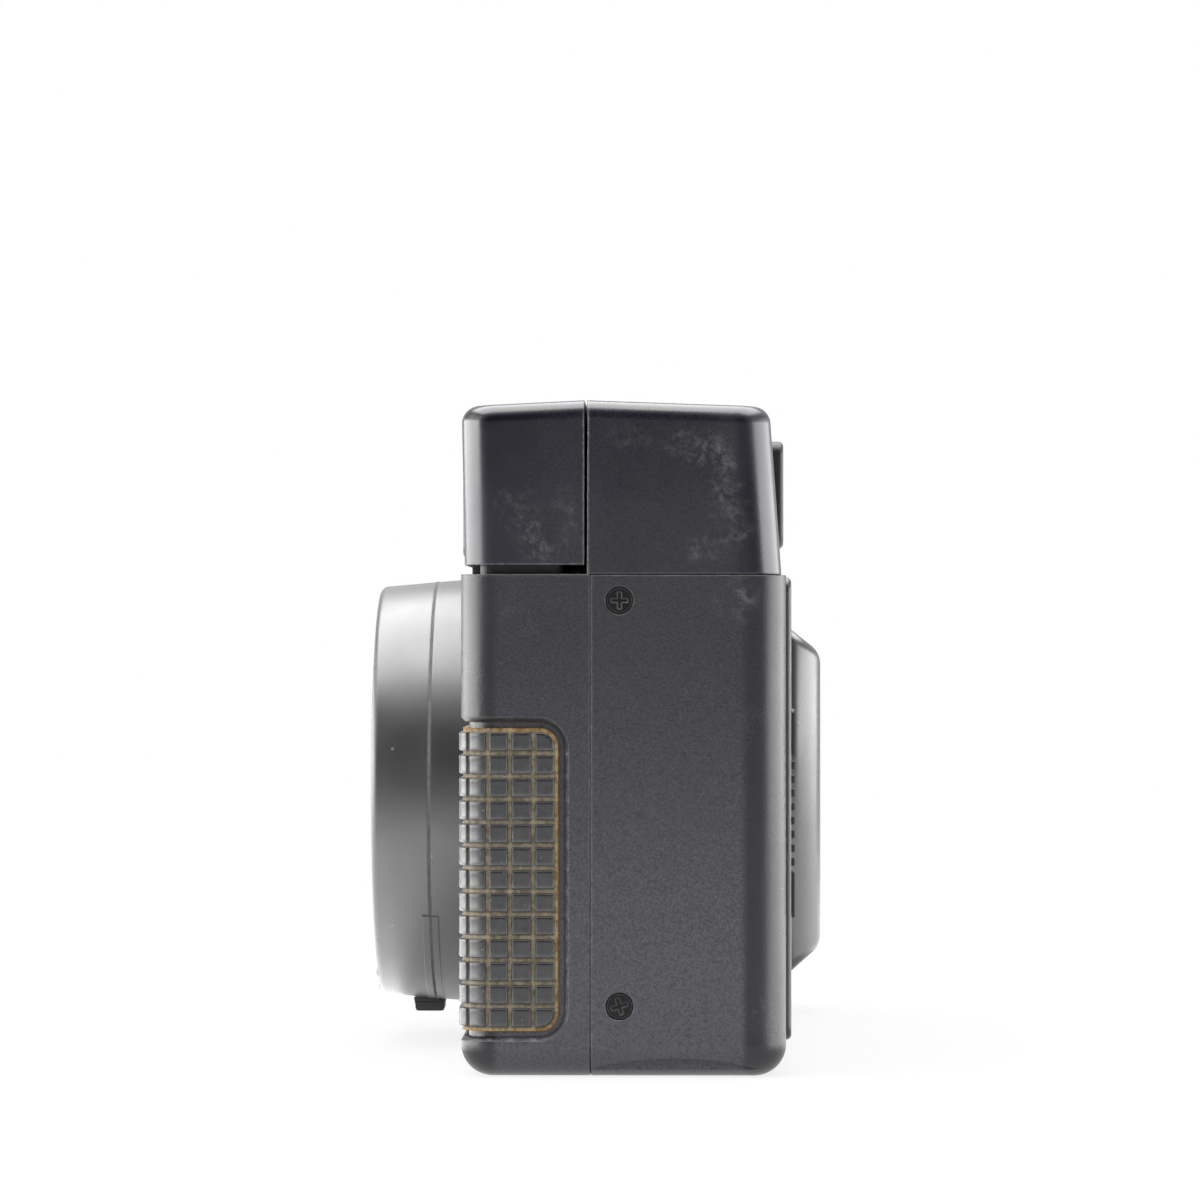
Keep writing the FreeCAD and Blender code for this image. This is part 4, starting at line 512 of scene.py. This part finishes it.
# distance from a groove's middle, and the share of the full height there
PAD_PROFILE = [(0.0, 0.0), (0.17, 0.0), (0.21, 0.50), (0.27, 0.82), (0.35, 0.96), (0.45, 1.0), (0.7, 1.0)]


def profile(distance):
    """Height share at a distance from the nearest groove."""
    for (d0, h0), (d1, h1) in zip(PAD_PROFILE, PAD_PROFILE[1:]):
        if distance <= d1:
            return h0 + (h1 - h0) * (distance - d0) / (d1 - d0)
    return 1.0


def pad_stations(lines):
    """Sample places along one direction: each groove's profile on both sides, and each cell's middle."""
    places = set()
    for line in lines:
        for distance, _ in PAD_PROFILE:
            places.add(round(line - distance, 4))
            places.add(round(line + distance, 4))
    for a, b in zip(lines, lines[1:]):
        places.add(round((a + b) / 2, 4))
    low, high = lines[0] - PAD_EDGE_MM, lines[-1] + PAD_EDGE_MM
    inside = sorted(p for p in places if low < p < high)
    return [low] + inside + [high]


def cell_share(place, lines):
    """Height share at a place among groove lines, and how far through its cell the place is."""
    nearest = min(abs(place - line) for line in lines)
    through = 0.5
    for a, b in zip(lines, lines[1:]):
        if a < place < b:
            through = (place - a) / (b - a)
    return profile(nearest), through


def wrapped(s, height):
    """The pad's path seen from above: along the end face, round the corner, along the front face."""
    centre = Vector((END_X - CORNER_MM, FRONT_Y_MM + CORNER_MM))
    straight = abs(centre.y - PAD_REAR_MM)
    arc = PAD_BEND_MM * math.pi / 2
    reach = CORNER_MM - RECESS_MM + height
    if s <= straight:
        return centre.x + reach, PAD_REAR_MM - s
    if s <= straight + arc:
        angle = (s - straight) / PAD_BEND_MM
        return centre.x + reach * math.cos(angle), centre.y - reach * math.sin(angle)
    return centre.x - (s - straight - arc), centre.y - reach


def rounded_outline(s, z, low_s, high_s, low_z, high_z):
    """Draws the sheet's square corners in to arcs."""
    r = PAD_OUTLINE_MM
    cs = low_s + r if s < low_s + r else high_s - r if s > high_s - r else s
    cz = low_z + r if z < low_z + r else high_z - r if z > high_z - r else z
    ds, dz = s - cs, z - cz
    far = math.hypot(ds, dz)
    if ds == 0 or dz == 0:
        return s, z
    pull = max(abs(ds), abs(dz)) / far
    return cs + ds * pull, cz + dz * pull


def make_grip_pad():
    low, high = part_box("grip_pad_left")
    inner = low.x / MM
    straight = abs(FRONT_Y_MM + CORNER_MM - PAD_REAR_MM)
    arc = PAD_BEND_MM * math.pi / 2
    total = straight + arc + (END_X - CORNER_MM - inner)
    columns = int(total / PAD_PITCH_MM)
    s_lines = [PAD_PITCH_MM * i for i in range(columns)] + [total]
    step = (high.z - low.z) / MM / PAD_ROWS
    z_lines = [low.z / MM + step * i for i in range(PAD_ROWS + 1)]
    s_places = pad_stations(s_lines)
    z_places = pad_stations(z_lines)
    mesh = bpy.data.meshes.new("grip_pad")
    bm = bmesh.new()
    depth_layer = bm.verts.layers.float.new("groove")
    lower_layer = bm.verts.layers.float.new("lower")
    border_layer = bm.verts.layers.float.new("border")
    limits = (s_places[0], s_places[-1], z_places[0], z_places[-1])
    grid = []
    for s in s_places:
        column = []
        hs, _ = cell_share(s, s_lines)
        for z in z_places:
            hz, up = cell_share(z, z_lines)
            share = hs * hz
            dish = PAD_DISH_MM * share * (1.0 - (2.0 * up - 1.0) ** 2)
            height = PAD_THICK_MM - PAD_DEPTH_MM + PAD_DEPTH_MM * share - dish
            rs, rz = rounded_outline(s, z, *limits)
            x, y = wrapped(rs, height)
            vert = bm.verts.new(point(x, y, rz))
            vert[depth_layer] = 1.0 - share
            vert[lower_layer] = 1.0 - up
            edge = min(s - limits[0], limits[1] - s, z - limits[2], limits[3] - z)
            vert[border_layer] = 1.0 if edge < PAD_BORDER_MM else 0.0
            column.append(vert)
        grid.append(column)
    for a, b in zip(grid, grid[1:]):
        for i in range(len(z_places) - 1):
            bm.faces.new((a[i], a[i + 1], b[i + 1], b[i]))
    # sides down to the floor of the recess
    rim = [column[0] for column in grid] + grid[-1][1:-1] + [column[-1] for column in reversed(grid)]
    rim += list(reversed(grid[0][1:-1]))
    rim_places = [(s, z_places[0]) for s in s_places] + [(s_places[-1], z) for z in z_places[1:-1]]
    rim_places += [(s, z_places[-1]) for s in reversed(s_places)]
    rim_places += [(s_places[0], z) for z in reversed(z_places[1:-1])]
    lower = []
    for vert, (s, z) in zip(rim, rim_places):
        rs, rz = rounded_outline(s, z, *limits)
        x, y = wrapped(rs, PAD_BACK_MM)
        foot = bm.verts.new(point(x, y, rz))
        foot[depth_layer] = 1.0
        foot[border_layer] = 1.0
        lower.append(foot)
    count = len(rim)
    for i in range(count):
        j = (i + 1) % count
        bm.faces.new((rim[i], rim[j], lower[j], lower[i]))
    bmesh.ops.recalc_face_normals(bm, faces=bm.faces)
    bm.to_mesh(mesh)
    bm.free()
    for face in mesh.polygons:
        face.use_smooth = True
    pad = add_object("grip_pad", mesh)
    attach(pad, "camera_body")
    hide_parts("grip_pad_left")
    return pad


def pad_material():
    g = Graph("grip_pad_rubber")
    tone = g.span(g.noise(500, 4.0, 0.65), 0.3, 0.7)
    base = g.mix(tone, (0.005, 0.007, 0.012), (0.014, 0.016, 0.021))
    lower = g.add("ShaderNodeAttribute", attribute_name="lower").outputs["Fac"]
    # painted reflection: the lower part of each cell is lightened, as it would catch light from the table
    # below
    wear_and_painted_light = g.calc("MULTIPLY", g.span(lower, 0.10, 1.0), g.span(g.noise(700, 5.0, 0.7), 0.25, 0.7, 0.35, 1.0))
    base = g.mix(wear_and_painted_light, base, (0.150, 0.152, 0.152))
    groove = g.add("ShaderNodeAttribute", attribute_name="groove").outputs["Fac"]
    border = g.add("ShaderNodeAttribute", attribute_name="border").outputs["Fac"]
    lump = g.noise(1500, 5.0, 0.7)
    wide = g.noise(260, 3.0, 0.6)
    dirt = g.mix(g.span(lump, 0.35, 0.65), (0.26, 0.225, 0.155), (0.62, 0.54, 0.39))
    glue = g.mix(g.span(lump, 0.4, 0.6), (0.48, 0.26, 0.06), (0.85, 0.62, 0.27))
    deep = g.span(groove, 0.35, 0.85)
    cover = g.calc("MULTIPLY", deep, g.span(wide, 0.2, 0.5, 0.72, 1.0))
    base = g.mix(cover, base, dirt)
    border_groove = g.calc("MULTIPLY", border, deep)
    base = g.over(base, glue, border_groove, g.span(wide, 0.28, 0.5, 0.55, 1.0))
    base = g.over(base, DUST, g.specks(900, 0.14, 0.3), 0.3)
    rough = g.calc("ADD", 0.27, g.calc("MULTIPLY", deep, 0.6))
    normal = g.bump(g.noise(6500, 3.0, 0.6), 0.004)
    normal = g.bump(lump, 0.05, normal, g.calc("MULTIPLY", deep, 0.8))
    return g.surface(base, rough, normal, Specular_IOR_Level=0.8)


grip_pad = make_grip_pad()
grip_pad.data.materials.append(pad_material())


# Barrel: turned metal, its facets joined so that light runs round it without a break

SHARP_ANGLE = math.radians(25)
SAME_PLACE_MM = 0.001
BARREL_ROOT_RADIUS_MM = 25.1
BARREL_ROOT_MM = -13.0
BARREL_TAPER = 0.061

barrel_low, barrel_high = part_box("barrel_base")
BARREL_CENTRE_MM = (barrel_low.z + barrel_high.z) / 2 / MM


def barrel_radius(y):
    """Radius of the tapered barrel at a depth, both in millimetres."""
    return BARREL_ROOT_RADIUS_MM - BARREL_TAPER * (BARREL_ROOT_MM - y)


def shade_smooth(bm):
    """Smooth faces, with the sharp edges kept."""
    for edge in bm.edges:
        edge.smooth = edge.calc_face_angle(math.pi) < SHARP_ANGLE
    for face in bm.faces:
        face.smooth = True


def fill_bar(bm, rows):
    """Faces of a closed bar, from rows of four corners along it."""
    for a, b in zip(rows, rows[1:]):
        for i in range(4):
            j = (i + 1) % 4
            bm.faces.new((a[i], a[j], b[j], b[i]))
    bm.faces.new(rows[0])
    bm.faces.new(list(reversed(rows[-1])))
    bmesh.ops.recalc_face_normals(bm, faces=bm.faces)


def smoothed(name):
    old = nodes[name].data
    mesh = bpy.data.meshes.new(name + "_turned")
    mesh.from_pydata([vert.co for vert in old.vertices], [], [list(face.vertices) for face in old.polygons])
    bm = bmesh.new()
    bm.from_mesh(mesh)
    bmesh.ops.remove_doubles(bm, verts=bm.verts, dist=SAME_PLACE_MM * MM)
    shade_smooth(bm)
    bm.to_mesh(mesh)
    bm.free()
    turned = add_object(name + "_turned", mesh)
    mesh.materials.append(look["barrel"])
    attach(turned, "camera_body")
    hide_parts(name)


smoothed("barrel_base")
smoothed("barrel_front_ring")


# Side screws: the lower one stands turned, as it was last tightened

LOWER_SCREW_TURN = math.radians(17)


def make_side_screws():
    mesh = nodes["side_screws"].data.copy()
    low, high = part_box("side_screws")
    middle = (low.z + high.z) / 2
    lower = [vert for vert in mesh.vertices if vert.co.z < middle]
    centre_y = (min(vert.co.y for vert in lower) + max(vert.co.y for vert in lower)) / 2
    centre_z = (min(vert.co.z for vert in lower) + max(vert.co.z for vert in lower)) / 2
    to_axis = Matrix.Translation((0.0, centre_y, centre_z))
    turn = to_axis @ Matrix.Rotation(LOWER_SCREW_TURN, 4, "X") @ to_axis.inverted()
    for vert in lower:
        vert.co = turn @ vert.co
    screws = add_object("side_screw_pair", mesh)
    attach(screws, "camera_body")
    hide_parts("side_screws")


make_side_screws()


# Dust that lies in the groove between the barrel's two rings, away from the film speed lever's slot

GROOVE_MM = -19.9
GROOVE_HALF_WIDTH_MM = 0.17
GROOVE_DUST_RADIUS_MM = 24.72
SLOT_HALF_ANGLE = math.radians(31)
DUST_STEP = math.radians(1.5)


def dust_material():
    g = Graph("groove_dust")
    lint = g.span(g.noise(900, 5.0, 0.7), 0.30, 0.70)
    base = g.mix(lint, (0.24, 0.24, 0.24), (0.38, 0.38, 0.365))
    return g.surface(base, 0.9)


dust_look = dust_material()


def dust_strip(name, radius_mm, start, end, body):
    """A strip round the barrel, between two angles counted from its lowest point."""
    steps = max(8, int((end - start) / DUST_STEP))
    points = []
    for i in range(steps + 1):
        angle = start + (end - start) * i / steps - math.pi / 2
        x = radius_mm * math.cos(angle)
        z = BARREL_CENTRE_MM + radius_mm * math.sin(angle)
        points.append(point(x, GROOVE_MM - GROOVE_HALF_WIDTH_MM, z))
        points.append(point(x, GROOVE_MM + GROOVE_HALF_WIDTH_MM, z))
    faces = [(2 * i, 2 * i + 1, 2 * i + 3, 2 * i + 2) for i in range(steps)]
    mesh = bpy.data.meshes.new(name)
    mesh.from_pydata(points, [], faces)
    strip = add_object(name, mesh)
    mesh.materials.append(dust_look)
    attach(strip, body)


dust_strip("groove_dust", GROOVE_DUST_RADIUS_MM, SLOT_HALF_ANGLE, 2 * math.pi - SLOT_HALF_ANGLE,
           "camera_body")


# Lever of the film speed ring: its end fills out to the barrel, and narrows downwards

LEVER_TOP_MM = (-22.7, -19.0)
LEVER_FOOT_MM = (-22.35, -19.2)
LEVER_LOW_RADIUS_MM = 26.05
LEVER_HALF_WIDTH_MM = 2.4
LEVER_GAP_MM = 0.09
LEVER_STEPS = 10


def make_lever():
    bm = bmesh.new()
    rows = []
    for i in range(LEVER_STEPS + 1):
        x = -LEVER_HALF_WIDTH_MM + 2 * LEVER_HALF_WIDTH_MM * i / LEVER_STEPS
        row = []
        for y in LEVER_TOP_MM:
            radius = barrel_radius(y) + LEVER_GAP_MM
            row.append(bm.verts.new(point(x, y, BARREL_CENTRE_MM - math.sqrt(radius ** 2 - x ** 2))))
        for y in reversed(LEVER_FOOT_MM):
            row.append(bm.verts.new(point(x, y, BARREL_CENTRE_MM - LEVER_LOW_RADIUS_MM)))
        rows.append(row)
    fill_bar(bm, rows)
    mesh = bpy.data.meshes.new("film_speed_lever")
    bm.to_mesh(mesh)
    bm.free()
    lever = add_object("film_speed_lever", mesh)
    mesh.materials.append(look["trim"])
    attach(lever, "film_speed_ring")


make_lever()


# Thin band that slides with the lever and keeps its slot shut

BAND_MM = (-20.85, -18.95)
BAND_HALF_ANGLE = math.radians(55.5)
BAND_THICK_MM = 0.06
BAND_GAP_MM = 0.02
BAND_STEPS = 60
LEVER_HALF_ANGLE = math.radians(8)
BAND_DUST_RADIUS_MM = 24.78


def make_slot_band():
    front, rear = BAND_MM
    corners = ((front, 0.0), (rear, 0.0), (rear, BAND_THICK_MM), (front, BAND_THICK_MM))
    bm = bmesh.new()
    rows = []
    for i in range(BAND_STEPS + 1):
        angle = -math.pi / 2 - BAND_HALF_ANGLE + 2 * BAND_HALF_ANGLE * i / BAND_STEPS
        row = []
        for y, lift in corners:
            radius = barrel_radius(y) + lift + BAND_GAP_MM
            z = BARREL_CENTRE_MM + radius * math.sin(angle)
            row.append(bm.verts.new(point(radius * math.cos(angle), y, z)))
        rows.append(row)
    fill_bar(bm, rows)
    shade_smooth(bm)
    mesh = bpy.data.meshes.new("film_speed_band")
    bm.to_mesh(mesh)
    bm.free()
    band = add_object("film_speed_band", mesh)
    mesh.materials.append(look["barrel"])
    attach(band, "film_speed_ring")


make_slot_band()

# dust on the band, on both sides of the lever
for side in (-1, 1):
    ends = sorted((side * LEVER_HALF_ANGLE, side * BAND_HALF_ANGLE))
    dust_strip("band_dust_" + ("near" if side > 0 else "far"), BAND_DUST_RADIUS_MM, *ends, "film_speed_ring")


# Plain numbers: the film speed scale round the barrel's front rim, and the frame counter's dial

SPEEDS = ("25", "50", "100", "200", "400")
SPEED_STEP = math.radians(13)
SPEED_HEIGHT_MM = 1.0
SPEED_RADIUS_MM = 23.45
FRAME_MARKS = 37
FRAME_NUMBER_EVERY = 4
FRAME_STEP = math.radians(360 / 40)
FRAME_HEIGHT_MM = 1.25
FRAME_RADIUS_MM = 5.7
INK_LIFT_MM = 0.02
TYPE_SIZE_OVER_DIGIT = 1.4


def make_ink():
    g = Graph("number_ink")
    wear_and_painted_light = g.span(g.noise(2400, 3.0, 0.6), 0.3, 0.6)
    return g.surface(g.mix(wear_and_painted_light, (0.42, 0.42, 0.41), (0.72, 0.72, 0.70)), 0.5)


ink = make_ink()


def number(name, label, height_mm, placing, body):
    """A flat number whose own X and Y lie in the placing's plane."""
    curve = bpy.data.curves.new(name, "FONT")
    curve.body = label
    curve.size = height_mm * TYPE_SIZE_OVER_DIGIT * MM
    curve.align_x = "CENTER"
    curve.align_y = "CENTER"
    curve.resolution_u = 3
    letters = add_object(name + "_curve", curve)
    bpy.context.view_layer.update()
    mesh = bpy.data.meshes.new_from_object(letters)
    mesh.transform(placing)
    bpy.data.objects.remove(letters)
    mesh.materials.clear()
    mesh.materials.append(ink)
    flat = add_object(name, mesh)
    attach(flat, body)


def make_speed_scale():
    low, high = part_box("barrel_front_ring")
    centre = point(0.0, low.y / MM - INK_LIFT_MM, (low.z + high.z) / 2 / MM)
    face = Matrix.Rotation(math.pi / 2, 4, "X")
    for i, label in enumerate(SPEEDS):
        angle = (i - (len(SPEEDS) - 1) / 2) * SPEED_STEP
        turn = Matrix.Rotation(angle, 4, "Z") @ Matrix.Translation((0.0, -SPEED_RADIUS_MM * MM, 0.0))
        number("film_speed_" + label, label, SPEED_HEIGHT_MM, Matrix.Translation(centre) @ face @ turn,
               "camera_body")


def make_frame_numbers():
    low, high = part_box("counter_dial")
    centre = Vector(((low.x + high.x) / 2, (low.y + high.y) / 2, high.z + INK_LIFT_MM * MM))
    for mark in range(FRAME_MARKS):
        turn = Matrix.Rotation(-mark * FRAME_STEP, 4, "Z")
        out = Matrix.Translation((0.0, FRAME_RADIUS_MM * MM, 0.0))
        label = str(mark) if mark % FRAME_NUMBER_EVERY == 0 else "."
        number("frame_" + str(mark), label, FRAME_HEIGHT_MM, Matrix.Translation(centre) @ turn @ out,
               "counter_dial")


make_speed_scale()
make_frame_numbers()


# Thumb rest: a raised pad whose four sides slope in to its top

THUMB_SIDE_SLOPE_MM = 9.5
THUMB_END_SLOPE_MM = 4.3
THUMB_EDGE_MM = 1.3
THUMB_FOOT_MM = 1.0


def make_thumb_rest():
    low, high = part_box("thumb_rest")
    side = THUMB_SIDE_SLOPE_MM * MM
    end = THUMB_END_SLOPE_MM * MM
    foot = [(low.x, low.z), (high.x, low.z), (high.x, high.z), (low.x, high.z)]
    top = [(low.x + side / 2, low.z + end), (high.x - side, low.z + end), (high.x - side, high.z - end),
           (low.x + side / 2, high.z - end)]
    mesh = bpy.data.meshes.new("thumb_pad")
    points = [(x, low.y, z) for x, z in foot] + [(x, high.y, z) for x, z in top]
    faces = [(3, 2, 1, 0), (4, 5, 6, 7)] + [(i, (i + 1) % 4, 4 + (i + 1) % 4, 4 + i) for i in range(4)]
    mesh.from_pydata(points, [], faces)
    bm = bmesh.new()
    bm.from_mesh(mesh)
    bmesh.ops.recalc_face_normals(bm, faces=bm.faces)
    foot_y = low.y + THUMB_FOOT_MM * MM
    raised = [edge for edge in bm.edges if max(vert.co.y for vert in edge.verts) > foot_y]
    bmesh.ops.bevel(bm, geom=raised, offset=THUMB_EDGE_MM * MM, segments=4, profile=0.5, affect="EDGES")
    bm.to_mesh(mesh)
    bm.free()
    for face in mesh.polygons:
        face.use_smooth = True
    rest = add_object("thumb_pad", mesh)
    mesh.materials.append(look["rest"])
    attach(rest, "back_door")
    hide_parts("thumb_rest")


make_thumb_rest()


# Floor: grey enough to hold the object's shadow, and glowing up to white

FLOOR_HALF = 4.0
FLOOR_GAP_MM = 0.02
FLOOR_GREY = (0.26, 0.26, 0.26, 1.0)
FLOOR_GLOW = 0.82
FLOOR_WHITE_FROM = 0.08
FLOOR_WHITE_TO = 0.35


def make_floor():
    mesh = bpy.data.meshes.new("floor")
    half = FLOOR_HALF
    level = cad_low.z - FLOOR_GAP_MM * MM
    corners = [(-half, -half, level), (half, -half, level), (half, half, level), (-half, half, level)]
    mesh.from_pydata(corners, [], [(0, 1, 2, 3)])
    floor = add_object("floor", mesh)
    g = Graph("pale_floor")
    diffuse = g.add("ShaderNodeBsdfDiffuse")
    diffuse.inputs["Color"].default_value = FLOOR_GREY
    glow = g.add("ShaderNodeEmission")
    path = g.add("ShaderNodeLightPath")
    seen = g.calc("MAXIMUM", path.outputs["Is Camera Ray"], path.outputs["Is Glossy Ray"])
    seen = g.calc("MAXIMUM", seen, path.outputs["Is Transmission Ray"])
    g.put(glow.inputs["Strength"], g.calc("MULTIPLY", seen, FLOOR_GLOW))
    both = g.add("ShaderNodeAddShader")
    g.tree.links.new(diffuse.outputs[0], both.inputs[0])
    g.tree.links.new(glow.outputs[0], both.inputs[1])
    # away from the object the floor is as white as the backdrop
    white = g.add("ShaderNodeEmission")
    length = g.add("ShaderNodeVectorMath", operation="LENGTH")
    g.put(length.inputs[0], g.place)
    far = g.calc("MULTIPLY", seen, g.span(length.outputs["Value"], FLOOR_WHITE_FROM, FLOOR_WHITE_TO))
    far = g.calc("MAXIMUM", far, path.outputs["Is Glossy Ray"])
    fade = g.add("ShaderNodeMixShader")
    g.put(fade.inputs[0], far)
    g.tree.links.new(both.outputs[0], fade.inputs[1])
    g.tree.links.new(white.outputs[0], fade.inputs[2])
    g.tree.links.new(fade.outputs[0], g.out.inputs["Surface"])
    mesh.materials.append(g.material)


# World: white behind the object, dimmer as light, and uneven in reflections

WORLD_LIGHT = 0.42
ROOM_TONE = 0.8
# in reflections the backdrop and walls are white, the camera's side is dim, and a dark ring lies between
# them: where along X a fade starts and ends, and its strength there
ROOM_FADES = ((0.45, 0.80, 1.0, 0.02), (0.90, 0.99, 0.0, 0.10))


def make_world():
    world = bpy.data.worlds.new("studio")
    bpy.context.scene.world = world
    world.use_nodes = True
    tree = world.node_tree
    tree.nodes.clear()

    def background(tone, strength):
        node = tree.nodes.new("ShaderNodeBackground")
        node.inputs["Color"].default_value = (tone, tone, tone, 1.0)
        node.inputs["Strength"].default_value = strength
        return node

    def blend(factor, a, b):
        node = tree.nodes.new("ShaderNodeMixShader")
        tree.links.new(factor, node.inputs[0])
        tree.links.new(a.outputs[0], node.inputs[1])
        tree.links.new(b.outputs[0], node.inputs[2])
        return node

    path = tree.nodes.new("ShaderNodeLightPath")
    plain = background(1.0, WORLD_LIGHT)
    white = background(1.0, 1.0)
    room = background(ROOM_TONE, 1.0)
    coords = tree.nodes.new("ShaderNodeTexCoord")
    split = tree.nodes.new("ShaderNodeSeparateXYZ")
    tree.links.new(coords.outputs["Generated"], split.inputs[0])
    level = tree.nodes.new("ShaderNodeMath")
    for i, (low, high, start, end) in enumerate(ROOM_FADES):
        fade = tree.nodes.new("ShaderNodeMapRange")
        fade.interpolation_type = "SMOOTHSTEP"
        fade.inputs["From Min"].default_value = low
        fade.inputs["From Max"].default_value = high
        fade.inputs["To Min"].default_value = start
        fade.inputs["To Max"].default_value = end
        tree.links.new(split.outputs["X"], fade.inputs["Value"])
        tree.links.new(fade.outputs["Result"], level.inputs[i])
    tree.links.new(level.outputs[0], room.inputs["Strength"])
    seen = tree.nodes.new("ShaderNodeMath")
    seen.operation = "MAXIMUM"
    tree.links.new(path.outputs["Is Camera Ray"], seen.inputs[0])
    tree.links.new(path.outputs["Is Transmission Ray"], seen.inputs[1])
    light = blend(path.outputs["Is Glossy Ray"], plain, room)
    whole = blend(seen.outputs[0], light, white)
    out = tree.nodes.new("ShaderNodeOutputWorld")
    tree.links.new(whole.outputs[0], out.inputs["Surface"])


# Lamps: soft boxes that light the object, and gleams that show only in reflections

MIDDLE = (0.0, 0.0, 0.035)
TABLE = cad_low.z + 0.0001


def softbox(name, place, target, size, size_y, power, diffuse=True, glossy=True):
    """A rectangular lamp that faces the target, and can be kept out of diffuse light or of reflections."""
    data = bpy.data.lights.new(name, "AREA")
    data.shape = "RECTANGLE"
    data.size = size
    data.size_y = size_y
    data.energy = power
    lamp = add_object(name, data)
    lamp.location = place
    lamp.rotation_euler = (Vector(target) - Vector(place)).to_track_quat("-Z", "Y").to_euler()
    lamp.visible_diffuse = diffuse
    lamp.visible_glossy = glossy
    lamp.visible_camera = False


make_floor()
make_world()

# each lamp's place and target, width and height in metres, watts, and where it counts
softbox("overhead", (-0.10, -0.05, 0.85), MIDDLE, 1.3, 1.1, 5.0)
softbox("left_side", (0.10, -0.85, 0.30), MIDDLE, 0.9, 0.7, 3.0)
softbox("camera_side", (1.55, 0.10, 0.30), MIDDLE, 0.45, 0.45, 1.6, glossy=False)
softbox("left_gleam", (-0.15, -0.90, 0.10), (-0.15, 0.0, 0.10), 1.5, 0.40, 11.5, False)
softbox("right_gleam", (-0.13, 0.90, 0.10), (-0.13, 0.0, 0.10), 1.44, 0.40, 10.5, False)
softbox("floor_gleam", (0.42, 0.0, TABLE), (0.42, 0.0, 1.0), 0.68, 0.9, 0.8, False)
softbox("front_table_gleam", (-0.11, -0.255, TABLE), (-0.11, -0.255, 1.0), 0.40, 0.46, 1.2, False)
softbox("rear_table_gleam", (-0.11, 0.265, TABLE), (-0.11, 0.265, 1.0), 0.40, 0.46, 0.8, False)
softbox("overhead_gleam", (-0.20, 0.0, 0.90), (-0.20, 0.0, 0.0), 1.2, 1.5, 28.0, False)
